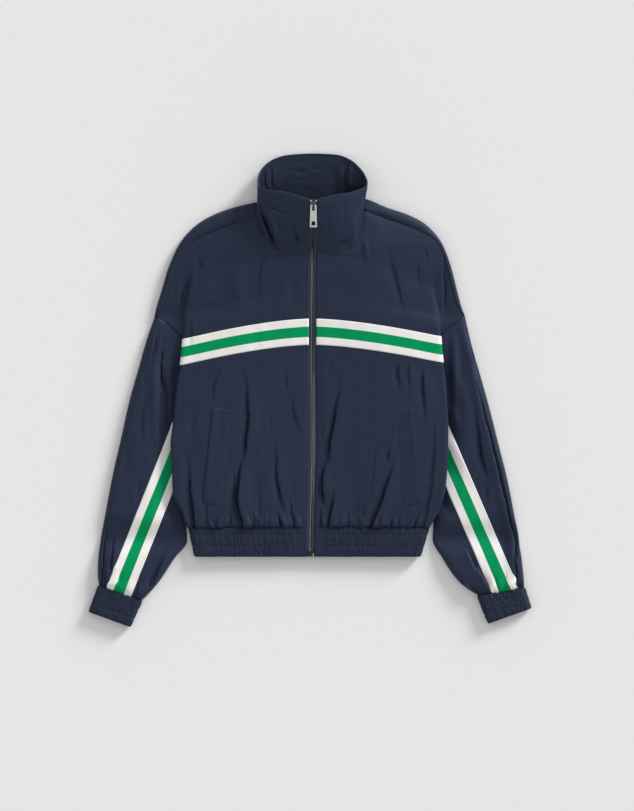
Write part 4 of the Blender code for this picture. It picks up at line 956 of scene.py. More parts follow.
def tubeProfile(share, top, floor):
    near = min(share, 1 - share)
    bend = math.sqrt(max(0.0, 1 - (1 - min(near / sleeve["edgeRound"], 1)) ** 2))
    middle = floor + min(3.0, (top - floor) / 2)
    return middle + (top - middle) * bend, middle - (middle - floor) * bend


def sleeveGrid(side):
    armhole = np.array(sleeve["armhole"])
    folds = np.array(sorted((row[1], row[2]) for row in frontRows[side]))
    shadowTop, shadowReach = sleeve["hemShadow"]
    start = armhole[0, 1:3]
    ring = []
    for share in sectionShares(side, start, armhole[-1, 1:3] - start):
        x, y, z, drop = curveThrough(armhole[:, 0], armhole[:, 1:], share)[0]
        ring.append((x, y, share, z - drop))
    rings = [ring]
    for outerX, outerY, innerX, innerY, puff in sleeveSections[side]:
        start = np.array([outerX, outerY])
        step = np.array([innerX, innerY]) - start
        ring = []
        for share in sectionShares(side, start, step):
            x, y = start + step * share
            covered = float(ease((y - layout["hemSeamY"] + shadowTop) / shadowReach))
            if y > layout["hemSeamY"]:
                foldX = np.interp(y, folds[:, 0], folds[:, 1])
                covered *= 1 - float(ease((x - foldX) / sleeve["bodyShadow"][side]))
            ring.append((x, y, share, puff + (sleeve["underBodyZ"] - puff) * covered))
        rings.append(ring)
    tube = []
    for ring in rings:
        heights = [tubeProfile(share, top, layout["floorZ"]) for _, _, share, top in ring]
        over = [place(side, x, y, high) for (x, y, _, _), (high, _) in zip(ring, heights)]
        under = [place(side, x, y, low) for (x, y, _, _), (_, low) in zip(ring, heights)]
        tube.append(over + under[1:-1][::-1])
    tube = np.array(tube)
    # the end runs a little into the cuff
    last = tube[-1] - tube[-2]
    tube[-1] += last * (sleeve["lap"] / np.linalg.norm(last, axis=1, keepdims=True))
    return tube


def makeSleeve(side):
    cloth = Cloth(sleeveGrid(side), sleeve["rowStep"], sleeve["columnStep"], ring=True)
    cloth.faceUp(row=len(cloth.v) - 20)
    x, y = cloth.x.copy(), cloth.y.copy()
    up, low = cloth.upper(0.1, 0.5), ease((-cloth.facing()[..., 2] - 0.3) / 0.4)
    height, shift = creased(x, y, sleeveCreases[side])
    height = height + drift(x, y, seedOf(side, 51), *sleeve["slowDrift"])
    height = height + drift(x, y, seedOf(side, 53), *sleeve["fineDrift"])
    end = cloth.v[-1] - cloth.v[:, None]
    folds = gathers(cloth, seedOf(side, 61), *sleeve["folds"], cloth.v[-1])
    blouse, fromEnd, reach = sleeve["blouse"]
    height = height + folds + blouse * bump(end - fromEnd, reach)
    # where it shows below or beside the body, not under it
    clear = ease((cloth.v[:, None] - 1) / 20)
    before = cloth.points[..., 2].copy()
    cloth.points[..., 2] += height * up * clear
    cloth.points[..., 0] += shift * up
    keepApart(cloth, before, up)
    # the under side has folds of its own, like those above
    shiftX, shiftY = sleeve["hiddenShift"]
    creaseDepth, foldDepth = sleeve["hiddenDepth"]
    hidden, _ = creased(x + shiftX, y + shiftY, sleeveCreases[side])
    cloth.points[..., 2] += np.maximum(-hidden * creaseDepth - folds * foldDepth, 0) * low
    cloth.push(-sleeve["endDip"] * np.exp(-end / 2.2) * np.ones_like(x))
    return cloth


sleeves = {}
for side in sides:
    cloth = makeSleeve(side)
    sleeves[side] = cloth
    made = buildMesh("sleeve" + side.title(), cloth, layout["cloth"], [looks["shell"]])
    settle(made, "shell", "sleeve_" + side)
    print("  sleeve", side, round(cloth.area(), 4))

print("gathered bands")

bands = {
    "cuffs": {
        "right": ((327.0, -301.6, 260.5, -326.0), (342.0, -343.0, 279.0, -366.0)),
        "left": ((332.3, -305.6, 259.4, -317.9), (342.0, -337.5, 276.5, -361.0))},
    "cuffHeight": 11.6, "cuffShares": (0.0, 0.025, 0.1, 0.3, 0.5, 0.7, 0.9, 0.975, 1.0), "cuffFloor": 1.1,
    "cuffLevels": (-0.014, 0.4, 0.8, 1.0), "cuffRows": (0.34, 0.70), "cuffSpacing": 0.92,
    "cuffDip": (2.2, 1.2), "cuffFlat": (0.205, 0.046),
    "hemWidths": {"right": (187.6, 178.3), "left": (184.5, 170.5)},
    "hemHeight": 12.5, "hemLevels": (-0.01, 0.25, 0.5, 0.75, 1.0),
    "hemShares": (0.0, 0.2, 0.4, 0.6, 0.8, 0.94),
    "hemTurn": ((3.0, 11.2), (0.5, 8.6), (0.5, 5.0), (3.0, 2.0)), "hemTurnWidth": 8.0,
    "hemBack": (0.95, 0.75, 0.5, 0.25), "hemBackZ": 1.05, "hemRows": (11.3, 28.2), "hemDip": (1.3, 1.1),
    "hemFlat": (1.02, 0.0426), "edgeDip": 0.9, "edgeWidth": 1.6,
    "cloth": 1.2, "spacing": 2.9, "depth": 1.55, "channel": 0.45, "stitchDip": 0.4, "foldSpacing": 17.0,
}


def ruched(cloth, seed, rows, spacing, depth, channel):
    # ridges that change places at each row of stitches, and channels that swell between the rows
    chance = np.random.default_rng(seed)
    u, v = cloth.u[None, :], cloth.v[:, None]
    marks = [0.0, *rows, cloth.v[-1]]
    total = np.zeros(cloth.points.shape[:2])
    for top, bottom in zip(marks[:-1], marks[1:]):
        inside = ease((v - top) / 1.6 + 0.5) * ease((bottom - v) / 1.6 + 0.5)
        if bottom == marks[-1]:
            inside = ease((v - top) / 1.6 + 0.5)
        if top == 0:
            inside = ease((bottom - v) / 1.6 + 0.5)
        t = np.clip((v - top) / (bottom - top), 0, 1)
        swell = channel * np.sin(np.pi * np.clip(t * 0.92 + 0.04, 0, 1)) ** 0.7
        troughs = np.zeros_like(total)
        spot = 0.0
        while spot < cloth.u[-1]:
            spot += spacing * chance.uniform(0.45, 1.45)
            size = chance.uniform(0.3, 1.0)
            lean = chance.normal() * 0.9
            bend = chance.normal() * 0.5
            wide = chance.uniform(0.6, 1.1)
            near = np.abs(cloth.u - spot) < 8
            off = u[:, near] - spot - lean * (t - 0.5) - bend * np.sin(2 * np.pi * t)
            trough = -size * bump(off, wide) * (0.75 + 0.25 * np.sin(np.pi * t))
            troughs[:, near] = np.minimum(troughs[:, near], trough)
        if top == 0:
            # some folds of the cloth above run on to the first row of stitches
            spot = 0.0
            while spot < cloth.u[-1]:
                spot += bands["foldSpacing"] * chance.uniform(0.3, 1.8)
                off = u - spot - chance.normal() * 3.0 * t
                troughs = troughs - 0.8 * bump(off, 1.0) * (1 - ease(t))
        total += inside * (swell + depth * (troughs + 0.4))
    for row in rows:
        total -= bands["stitchDip"] * bump(v - row, 0.9)
    return total


def cuffGrid(side):
    top, opening = bands["cuffs"][side]
    rows = []
    for share in bands["cuffLevels"]:
        outer, inner = mixed(top[:2], opening[:2], share), mixed(top[2:], opening[2:], share)
        over, under = [], []
        for across in bands["cuffShares"]:
            x, y = mixed(outer, inner, across)
            high, low = tubeProfile(across, bands["cuffHeight"], bands["cuffFloor"])
            over.append(place(side, x, y, high))
            under.append(place(side, x, y, low))
        rows.append(over + under[1:-1][::-1])
    return np.array(rows)


cuffs = {}
for side in sides:
    cloth = Cloth(cuffGrid(side), 1.35, 1.05, ring=True)
    cloth.faceUp()
    rows = [share * cloth.v[-1] for share in bands["cuffRows"]]
    spacing = bands["spacing"] * bands["cuffSpacing"]
    height = ruched(cloth, seedOf(side, 71), rows, spacing, bands["depth"], bands["channel"])
    down = cloth.v[:, None]
    dip, reach = bands["cuffDip"]
    edgeDip = bands["edgeDip"] * bump(down - cloth.v[-1], bands["edgeWidth"])
    height = height - dip * np.exp(-down / reach) - edgeDip
    # its lower side lies flat on the surface
    low = ease((-cloth.facing()[..., 2] - 0.2) / 0.5)
    height = np.where(height > 0, height * (1 - 0.9 * low), height * (1 - 0.3 * low))
    cloth.push(height)
    cloth.rowsAt = rows
    cuffs[side] = cloth
    made = buildMesh("cuff" + side.title(), cloth, bands["cloth"], [looks["band"]])
    settle(made, "band", "cuff_" + side)
    print("  cuff", side, round(cloth.area(), 4))


def hemGrid():
    rows = []
    for level in bands["hemLevels"]:
        y = (layout["hemSeamY"] - 0.3) * (1 - level) + layout["hemEndY"] * level
        row = []
        for side in ("right", "left"):
            half = mixed(*bands["hemWidths"][side], level)
            edge = frontEdge(side, y)
            turn = place(side, half - bands["hemTurnWidth"], y, bands["hemHeight"])
            away = np.array([sides[side], 0.0, 0.0])
            path = [edge + away * 2.6 - [0, 0, 1.5], edge - [0, 0, 0.8], edge + away]
            path += [mixed(edge, turn, share / bands["hemShares"][-1]) for share in bands["hemShares"][1:]]
            path += [place(side, half - inset, y, height) for inset, height in bands["hemTurn"]]
            path += [place(side, half * share - bands["hemTurnWidth"] / 2, y, bands["hemBackZ"])
                     for share in bands["hemBack"]]
            row += path if side == "right" else path[::-1]
        rows.append(row)
    return np.array(rows)


hemCloth = Cloth(hemGrid(), 1.7, 1.0)
hemCloth.faceUp(column=30)
height = ruched(hemCloth, 73, bands["hemRows"], bands["spacing"], bands["depth"], bands["channel"])
placket = besideZip(hemCloth.x, *layout["placket"])
onBack = ease((3.5 - hemCloth.points[..., 2]) / 1.5)
down = hemCloth.v[:, None]
dip, reach = bands["hemDip"]
height = height * np.maximum(placket, onBack) - dip * np.exp(-down / reach) * (1 - onBack) * placket
height = height - 0.8 * bump(down - hemCloth.v[-1], bands["edgeWidth"])
height = np.where(height > 0, height * (1 - 0.9 * onBack), height * (1 - 0.25 * onBack))
hemCloth.push(height)
hemCloth.points[..., 1] += seamRise(hemCloth.x) * bump(down, 15) * (1 - onBack)
made = buildMesh("hemBand", hemCloth, bands["cloth"], [looks["band"]])
settle(made, "band", "hem_band")
print("  hem", round(hemCloth.area(), 4))

print("collar")

collar = {
    "rowStep": 2.1, "columnStep": 1.25, "levels": (-0.018, 0.25, 0.5, 0.75, 1.0), "bulge": (1.5, 2.5),
    "roll": ((0.75, 0.35), (1.05, 1.1), (0.7, 1.9), (-1.2, 2.1)),     # the top edge, up and inwards
    "ends": ((2.6, -0.9), (0.0, -0.45), (0.7, 0.0)),                  # the turned ends, sideways and up
    "facingStep": (1.15, 1.2), "facingIn": 1.8, "facingStop": 5.6,
    "drift": (16, 22, 0.35), "facingDrift": (10, 16, 0.5), "pucker": (2.0, 9, 0.16),
    "stitchDown": (2.2, 6.6), "stitchDip": 0.28, "stitchWidth": 0.7,
    "flat": (0.47, 0.095), "flatArea": 0.040, "facingFlat": (0.45, 0.092), "facingArea": 0.037,
    "creases": (
        (-79, 291, -47, 214, 1, 6.0, 4.8, 1, 0.55), (-82, 293, -47, 211, 1, 14.0, 3.7, 0, 0.5),
        (-76, 293, -24, 264, -3, 3.4, 4.0, -1, 0.4), (-60, 292, -30, 288, 1, 2.4, 4.0, -1, 0.5),
        (-24, 266, -12, 222, -2, 4.2, 3.6, 1, 0.7), (-18, 252, -9, 228, 1, 2.2, 3.0, 1, 0.6),
        (76, 272, 60, 228, 2, 2.6, 5.0, -1, 0.5), (66, 244, 44, 224, 0, 3.0, 3.0, -1, 0.6),
        (-68, 270, -34, 238, 2, 1.6, 6.0, 1, 0.5), (34, 280, 30, 226, -1, 1.6, 7.0, 1, 0.5),
        (20, 262, 16, 232, 1, 2.0, 3.0, 1, 0.5), (52, 292, 44, 250, 1, 1.4, 6.0, -1, 0.5)),
    "insideCreases": (
        (60, 372, 63, 286, 1, 11.0, 4.6, 1, 0.55), (50, 360, 54, 282, 1, -5.0, 7.5, 0, 0.55),
        (-38, 346, 14, 333, 2, 2.0, 3.0, 1, 0.5),
        (-71, 352, -67, 304, 1, 2.9, 3.0, 1, 0.5), (-61, 358, -57, 302, 1, 2.3, 3.0, 1, 0.5),
        (-50, 308, -34, 330, 1, 2.2, 2.4, 1, 0.4), (-24, 340, 30, 343, -2, 1.5, 3.0, -1, 0.5),
        (10, 310, 44, 322, 1, 0.8, 4.6, 1, 0.5), (-30, 318, 20, 308, 2, 0.8, 4.6, 1, 0.5),
        (-25, 327, -9, 328.5, 0, 2.2, 1.3, 1, 0.5)),
    "insideLeast": -1.1,
}


def collarGrid():
    lean, leanAhead = collar["bulge"]
    points = []
    for side in ("right", "left"):
        path = []
        for index, (neckX, neckY, neckZ, topX, topY, topZ) in enumerate(collarStations[side]):
            if index:
                path.append((place(side, neckX, neckY, neckZ), place(side, topX, topY, topZ)))
            else:
                path.append((frontEdge(side, neckY), frontEdge(side, topY)))
        points += path if side == "right" else path[::-1][1:]
    rows = []
    for share in collar["levels"]:
        row = []
        for index, (neck, top) in enumerate(points):
            point = mixed(neck, top, share)
            ahead = max(0.0, math.cos(2 * math.pi * index / (len(points) - 1)))
            point[2] += (lean + leanAhead * ahead) * math.sin(math.pi * max(share, 0.0))
            if share < 0:
                point[2] = max(point[2] - 0.8 * ahead, 1.0)
            row.append(point)
        rows.append(row)
    return np.array(rows)


def gridFacing(grid):
    facing = np.cross(np.gradient(grid, axis=1), np.gradient(grid, axis=0))
    return facing / np.linalg.norm(facing, axis=2, keepdims=True)


def makeCollar():
    plain = collarGrid()
    inward = gridFacing(plain)
    # which way the inside of the collar lies, from the middle of its back
    if inward[2, plain.shape[1] // 2, 2] < 0:
        inward = -inward
    inside = plain + inward * collar["facingIn"]
    # the top edge rolls over to the inside
    top, rise = plain[-1], plain[-1] - plain[-2]
    rise = rise / np.linalg.norm(rise, axis=1, keepdims=True)
    roll = [top + rise * up + inward[-1] * across for up, across in collar["roll"]]
    grid = np.concatenate([plain, np.array(roll)])
    ends = []
    for column, sign in ((0, -1), (-1, 1)):
        edge = grid[:, column:][:, :1]
        turns = [edge + [sign * away, 0.0, up] for away, up in collar["ends"]]
        ends.append(np.concatenate(turns, axis=1))
    grid = np.concatenate([ends[0], grid[:, 1:-1], ends[1][:, ::-1]], axis=1)
    outer = Cloth(grid, collar["rowStep"], collar["columnStep"], leastColumns=2)
    outer.faceUp(column=20)
    outer.topAt = outer.rowKnots[len(collar["levels"]) - 1]
    inside[0] = mixed(inside[0], inside[1], 0.06)
    inside[-1] = mixed(inside[-1], inside[-2], 0.02)
    for end, toward in ((0, 1), (-1, -2)):
        for row in inside:
            row[end] = movedTo(row[end], row[toward], collar["facingStop"])
    rowsWider, columnsWider = collar["facingStep"]
    inner = Cloth(inside, collar["rowStep"] * rowsWider, collar["columnStep"] * columnsWider)
    inner.faceUp(column=len(inner.u) // 2)
    return outer, inner


collarCloth, facingCloth = makeCollar()
ahead = collarCloth.upper(0.25, 0.3) * ease((collarCloth.topAt - 2 - collarCloth.v[:, None]) / 7)
height, shift = creased(collarCloth.x, collarCloth.y, collar["creases"])
height = height + drift(collarCloth.x, collarCloth.y, 81, *collar["drift"])
collarCloth.points[..., 2] += height * ahead
collarCloth.points[..., 0] += shift * ahead
fromTop = collarCloth.topAt - collarCloth.v[:, None]
groove = sum(collar["stitchDip"] * bump(fromTop - at, collar["stitchWidth"]) for at in collar["stitchDown"])
columns = collarCloth.u[None, :] * np.ones_like(collarCloth.x)
pucker = drift(columns, collarCloth.v[:, None], 82, *collar["pucker"])
collarCloth.push((pucker * bump(fromTop - 3, 4) - groove) * (fromTop > -0.5))
made = buildMesh("standCollar", collarCloth, layout["cloth"], [looks["shell"]])
settle(made, "shell", "collar")
print("  collar", round(collarCloth.area(), 4))

height, shift = creased(facingCloth.x, facingCloth.y, collar["insideCreases"])
height = height + drift(facingCloth.x, facingCloth.y, 83, *collar["facingDrift"])
height = np.maximum(height, collar["insideLeast"])
middle = ease(facingCloth.v / 10)[:, None] * ease((facingCloth.v[-1] - 2 - facingCloth.v) / 10)[:, None]
facingCloth.points[..., 2] += height * middle * facingCloth.upper(0.1, 0.3)
facingCloth.points[..., 0] += shift * middle * facingCloth.upper(0.1, 0.3)
# behind the front of the collar it follows the folds of the outer cloth
height, _ = creased(facingCloth.x, facingCloth.y, collar["creases"])
facingCloth.points[..., 2] += height * middle * ease((-facingCloth.facing()[..., 2] - 0.25) / 0.3)
made = buildMesh("collarFacing", facingCloth, layout["cloth"], [looks["facing"]])
settle(made, "facing", "collar_facing")
print("  facing", round(facingCloth.area(), 4))

print("striped tapes")

tapes = {
    "lift": 0.72, "cloth": 0.5, "step": 2.2,
    # where the green starts and ends on the whole width
    "chest": (8.0, 18.3), "chestWhole": 26.0, "sleeve": (12.3, 28.1), "sleeveWhole": 40.0,
    "chestStep": 1.87, "fromEdge": 0.4, "pastFold": 4.5, "fromArmhole": 1.0,
    "crown": 0.12, "drift": (2.2, 20, 0.09),
    "chestFlat": (0.204, 0.041), "sleeveFlat": (0.045, 0.40),
}


def bandStations(low, high, cuts, step):
    # places across a tape, with one on each edge of a stripe
    marks = [low] + [low + (high - low) * cut for cut in cuts] + [high]
    return stations(np.array(marks), step, least=3)


def bandLooks(places, low, high, cuts):
    middle = ((places[1:] + places[:-1]) / 2 - low) / (high - low)
    return ((middle > cuts[0]) & (middle < cuts[1])).astype(int)


for side in sides:
    cloth = fronts[side]
    low, high = (cloth.rowKnots[row] for row in front["tapeRows"])
    cuts = [1 - at / tapes["chestWhole"] for at in tapes["chest"]][::-1]
    vs = bandStations(low, high, cuts, tapes["step"])
    us = np.arange(cloth.edgeAt + tapes["fromEdge"], cloth.foldAt + tapes["pastFold"], tapes["chestStep"])
    strip = cloth.part(us, vs, tapes["lift"])
    edgeAt = np.minimum(vs - low, high - vs)[:, None]
    strip.push(tapes["crown"] * ease(edgeAt / 2.5) + drift(strip.x, strip.y * 0.4, 91, *tapes["drift"]))
    made = buildMesh("chestTape" + side.title(), strip, tapes["cloth"], [looks["white"], looks["green"]],
                     bandLooks(vs, low, high, cuts)[:, None])
    settle(made, "striped_tape", "chest_tape_" + side)
    cloth.tapeEdges = (low, high)
    print("  chest tape", side, round(strip.area(), 4))

    cloth = sleeves[side]
    low, high = (cloth.columnKnots[column] for column in sleeve["tapeColumns"])
    cuts = [at / tapes["sleeveWhole"] for at in tapes["sleeve"]]
    us = bandStations(low, high, cuts, tapes["step"])
    vs = cloth.v[cloth.v > tapes["fromArmhole"]]
    strip = cloth.part(us, vs, tapes["lift"])
    made = buildMesh("sleeveTape" + side.title(), strip, tapes["cloth"], [looks["white"], looks["green"]],
                     bandLooks(us, low, high, cuts)[None, :])
    settle(made, "striped_tape", "sleeve_tape_" + side)
    cloth.tapeEdges = (low, high)
    print("  sleeve tape", side, round(strip.area(), 4))

print("pocket welts")

welts = {
    "corners": {                      # outer and inner edge at the top, then at the bottom
        "right": ((150.4, -25.6, 124.0, -30.2), (165.9, -174.4, 136.4, -179.0)),
        "left": ((159.7, -25.6, 134.9, -28.7), (171.3, -174.4, 143.4, -178.3))},
    "rows": 76, "shares": (0.0, 0.02, 0.05, 0.1, *np.linspace(0.17, 0.86, 9), 0.93, 0.97, 0.99, 1.0),
    "bridging": (10, 3), "step": (2.0, 1.9), "sewn": 5.0, "edgeDip": 0.75, "drift": (6, 20, 0.12),
    "cloth": 0.8, "lift": 0.45, "open": 1.0, "crown": 0.3, "flat": (0.031, 0.152),
}


def surfaceUnder(cloth):
    # the panel as a tree that can be asked for its height at a place
    rows, columns = cloth.points.shape[:2]
    verts = [Vector(p) for p in cloth.points.reshape(-1, 3)]
    faces = []
    for r in range(rows - 1):
        for c in range(columns - 1):
            if cloth.u[c] < cloth.foldAt - 1:
                i = r * columns + c
                faces.append((i, i + 1, i + columns + 1, i + columns))
    return BVHTree.FromPolygons(verts, faces)


def heightOn(tree, x, y):
    above = Vector((x, y, 200.0))
    return tree.ray_cast(above, Vector((0, 0, -1)))[0].z


def weltGrid(side, tree):
    top, bottom = welts["corners"][side]
    rows = []
    for share in np.linspace(0, 1, welts["rows"]):
        outer, inner = mixed(top[:2], bottom[:2], share), mixed(top[2:], bottom[2:], share)
        row = []
        for across in welts["shares"]:
            x, y = mixed(inner, outer, across) * [sides[side], 1]
            row.append([x, y, heightOn(tree, x, y)])
        rows.append(row)
    grid = np.array(rows)
    # it bridges the small folds under it
    alongIt, acrossIt = welts["bridging"]
    for _ in range(alongIt):
        grid[1:-1, :, 2] = (grid[:-2, :, 2] + grid[2:, :, 2] + 2 * grid[1:-1, :, 2]) / 4
    for _ in range(acrossIt):
        grid[:, 1:-1, 2] = (grid[:, :-2, 2] + grid[:, 2:, 2] + 2 * grid[:, 1:-1, 2]) / 4
    return grid


weltCloths = {}
for side in sides:
    cloth = Cloth(weltGrid(side, surfaceUnder(fronts[side])), *welts["step"], leastRows=1, leastColumns=1)
    cloth.faceUp()
    share = (cloth.u / cloth.u[-1])[None, :]
    fromEnd = np.minimum(cloth.v, cloth.v[-1] - cloth.v)[:, None]
    rise = welts["lift"] + welts["crown"] * np.sin(np.pi * np.clip(share, 0, 1)) ** 0.8
    rise = rise + welts["open"] * ease((share - 0.45) / 0.5) * (1 - bump(fromEnd, welts["sewn"]))
    # its edges dip to the panel, the open one less
    edge = np.minimum(np.minimum(share, 1 - share) * cloth.u[-1], fromEnd)
    rise = rise - welts["edgeDip"] * np.exp(-(edge / 0.8) ** 1.5) * (1 - 0.5 * ease((share - 0.7) / 0.2))
    cloth.push(rise + drift(cloth.x, cloth.y, seedOf(side, 95), *welts["drift"]))
    weltCloths[side] = cloth
    made = buildMesh("welt" + side.title(), cloth, welts["cloth"], [looks["shell"]])
    settle(made, "shell", "welt_" + side)
    print("  welt", side, round(cloth.area(), 4))

print("zip")

zipSizes = {
    "pitch": 3.7, "toothTall": 2.1, "crownTall": 0.45, "toothAt": (1.3, 1.55), "toothTurn": 0.03,
    # the left-hand crowns are painted bright between these heights and painted dim outside them: painted
    # glint
    "glintSpan": (-165.0, 25.0), "tapeWide": (0.5, 11.8), "tapeStep": (3.0, 1.3), "tapeCloth": 0.6,
    "sliderWide": 9.0, "sliderLong": 11.0, "plate": 1.1, "mouth": 1.7, "sliderDown": 3.2, "sliderSunk": 1.8,
    "bridgeWide": 2.0, "bridgeLong": 7.9, "bridgeClear": 2.3, "bridgeBar": 1.2, "bridgeSteps": 16,
    "axisUp": 1.1,
    "pullLong": 35.0, "pullTop": 9.6, "pullEnd": 11.4, "pullThick": 1.4, "pullEased": 0.3,
    "eyeBar": 0.7, "eye": (4.2, 7.6), "window": (9.5, 4.8, 3.0, 6.8),
    "stop": (2.4, 2.2, 1.6), "box": (9.0, 8.0, 3.4), "boxEnd": 0.4,
    "tapeFlat": (0.0135, 0.56),
}
tapeLow = layout["hemEndY"] + zipSizes["boxEnd"] + zipSizes["box"][1] + 0.3
zipLevels = (tapeLow, *zipHeights["y"][1:], 232.4, 253.2, 274.0, layout["zipTopY"] - 0.3)
for side in sides:
    rows = []
    for y in zipLevels:
        height = float(zipZ(y)) - layout["zipDrop"] - 0.2
        rows.append([place(side, offset, y, height) + [zipX(y), 0.0, 0.0] for offset in zipSizes["tapeWide"]])
    strip = Cloth(np.array(rows), *zipSizes["tapeStep"])
    strip.faceUp()
    made = buildMesh("zipTape" + side.title(), strip, zipSizes["tapeCloth"], [looks["zipTape"]])
    settle(made, "zip_tape", "zip_tape_" + side)


def joined(name, parts, look, slot, *nodes, rides=body, smooth=True):
    # one mesh from many small parts, each a pair of points (mm) and faces
    verts, faces, start = [], [], 0
    for points, polygons in parts:
        verts.append(np.asarray(points, float))
        faces += [tuple(i + start for i in polygon) for polygon in polygons]
        start += len(points)
    mesh = bpy.data.meshes.new(name)
    mesh.from_pydata((np.concatenate(verts) * mm).tolist(), [], faces)
    mesh.validate()
    if smooth:
        mesh.shade_smooth()
    mesh.materials.append(look)
    made = bpy.data.objects.new(name, mesh)
    bpy.context.scene.collection.objects.link(made)
    return settle(made, slot, *nodes, rides=rides)


def casting(loop, low, high, eased, middle=(0.0, 0.0), fine=True):
    # a small cast block: an outline between two heights, with eased edges
    loop = np.asarray(loop, float)
    centre = np.asarray(middle)
    size = np.abs(loop - centre).max(axis=0)
    rings = []
    turns = ((eased, low), (eased * 0.3, low + eased * 0.3), (0, low + eased), (0, high - eased),
             (eased * 0.3, high - eased * 0.3), (eased, high))
    for inset, z in turns if fine else (turns[0], turns[2], turns[3], turns[5]):
        shrunk = centre + (loop - centre) * (1 - inset / size)
        rings.append(np.column_stack([shrunk, np.full(len(loop), z)]))
    count = len(loop)
    last = len(rings) - 1
    faces = [tuple(range(count))[::-1], tuple(range(last * count, (last + 1) * count))]
    for ring in range(last):
        for i in range(count):
            j = (i + 1) % count
            a = ring * count
            faces.append((a + i, a + j, a + count + j, a + count + i))
    return np.concatenate(rings), faces


def turned(part, frame):
    points, faces = part
    rotation, shift = np.array(frame.to_3x3()), np.array(frame.translation)
    return points @ rotation.T + shift, faces


def roundedLoop(corners, radius, steps=3):
    loop = []
    for i, here in enumerate(corners):
        here = np.array(here, float)
        enter = movedTo(here, np.array(corners[i - 1], float), radius)
        leave = movedTo(here, np.array(corners[(i + 1) % len(corners)], float), radius)
        for t in np.linspace(0, 1, steps + 1):
            loop.append((1 - t) ** 2 * enter + 2 * t * (1 - t) * here + t * t * leave)
    return np.array(loop)


def roundedBox(x0, y0, x1, y1, radius, steps=3):
    return roundedLoop([(x0, y0), (x1, y0), (x1, y1), (x0, y1)], radius, steps)


def mirrored(loop, sign):
    # an outline on the left (1) or right (-1) of the zip
    return loop * [1.0, 1.0] if sign > 0 else (loop * [-1.0, 1.0])[::-1]


# the teeth of both sides mesh on the middle line
sliderTop = layout["zipTopY"] - zipSizes["sliderDown"]
toothLoop = np.array([(2.5, -0.55), (1.1, -0.68), (0.55, -0.5), (0.35, -0.2),
                      (0.35, 0.2), (0.55, 0.5), (1.1, 0.68), (2.5, 0.55)])
crownLoop = roundedBox(-0.6, -0.5, 0.6, 0.5, 0.25, 1)
teeth = {"teeth": [], "paintedDimTeeth": [], "shadedMetal": []}
chance = np.random.default_rng(101)
lean = math.atan2(layout["zipTopX"] - layout["zipEndX"], layout["zipTopY"] - layout["hemEndY"])
half = zipSizes["toothTall"] / 2
toothX, crownX = zipSizes["toothAt"]
glintLow, glintHigh = zipSizes["glintSpan"]
y = tapeLow + 0.9
index = 0
while y < sliderTop - zipSizes["sliderLong"] + 2.4:
    sign = 1 if index % 2 else -1
    height = float(zipZ(y)) - layout["zipDrop"]
    slope = math.atan2(float(zipZ(y + 2)) - float(zipZ(y - 2)), 4.0)
    turn = zipSizes["toothTurn"] * chance.normal()
    frameHere = (Matrix.Translation((zipX(y), y, height)) @ Matrix.Rotation(-lean, 4, "Z")
                 @ Matrix.Rotation(slope, 4, "X") @ Matrix.Rotation(turn, 4, "Z"))
    # each tooth body is near black, painted shade, so that only its crown is bright
    tooth = casting(mirrored(toothLoop, sign), -half, half - 0.2, 0.26,
                    middle=(toothX * sign, 0.0), fine=False)
    teeth["shadedMetal"].append(turned(tooth, frameHere))
    crown = casting(crownLoop + [crownX * sign, 0.0], half - zipSizes["crownTall"], half, 0.2,
                    middle=(crownX * sign, 0.0), fine=False)
    # painted glint: the right-hand crowns and the left ones in the middle span are bright, the rest are
    # painted dim
    crownGlint = "teeth" if sign < 0 or glintLow < y < glintHigh else "paintedDimTeeth"
    # above the neck the teeth get no crowns, so the zip in the collar is painted shade
    if y < layout["neckY"] + 9:
        teeth[crownGlint].append(turned(crown, frameHere))
    y += zipSizes["pitch"] / 2
    index += 1
joined("zipTeeth", teeth["shadedMetal"], looks["shadedMetal"], "dark_metal", "zip_chain", smooth=False)
joined("zipCrowns", teeth["teeth"], looks["teeth"], "dark_metal", smooth=False)
joined("zipCrownsPaintedDim", teeth["paintedDimTeeth"], looks["paintedDimTeeth"], "dark_metal", smooth=False)


def sliderFrame():
    high, low = sliderTop, sliderTop - zipSizes["sliderLong"]
    top = Vector((zipX(high), high, float(zipZ(high)) - zipSizes["sliderSunk"]))
    end = Vector((zipX(low), low, float(zipZ(low)) - zipSizes["sliderSunk"]))
    slope = math.atan2(top.z - end.z, top.y - end.y)
    return Matrix.Translation((top + end) / 2) @ Matrix.Rotation(slope, 4, "X")


frameAt = sliderFrame()
wide, long = zipSizes["sliderWide"] / 2, zipSizes["sliderLong"] / 2
deck = zipSizes["mouth"] / 2 + zipSizes["plate"]
# its outlines, as shares of half its width and half its length
rightHalf = ((0.62, -1.0), (0.78, -0.35), (1.0, 0.25), (0.92, 0.8), (0.3, 1.0))
bodyCorners = [(-rightHalf[0][0], -1.0), *rightHalf] + [(-x, y) for x, y in rightHalf[:0:-1]]
flangeCorners = ((0.6, -0.96), (0.74, -0.96), (0.95, 0.3), (0.8, 0.3))
bodyLoop = roundedLoop([(wide * x, long * y) for x, y in bodyCorners], 0.9)
flangeLoop = roundedLoop([(wide * x, long * y) for x, y in flangeCorners], 0.25)
postLoop = roundedLoop([(-1.3, 0.6), (1.3, 0.6), (0.6, long * 0.9), (-0.6, long * 0.9)], 0.3)
parts = [casting(bodyLoop, zipSizes["mouth"] / 2, deck, 0.35),
         casting(bodyLoop, -deck, -zipSizes["mouth"] / 2, 0.35),
         casting(postLoop, -deck + 0.2, deck - 0.2, 0.1, middle=(0, 3.0))]
for sign in (1, -1):
    parts.append(casting(mirrored(flangeLoop, sign), 0.15, deck - 0.3, 0.12, middle=(wide * 0.8 * sign, 0)))
joined("zipSlider", [turned(part, frameAt) for part in parts], looks["darkMetal"], "dark_metal", "zip_slider",
       smooth=False)

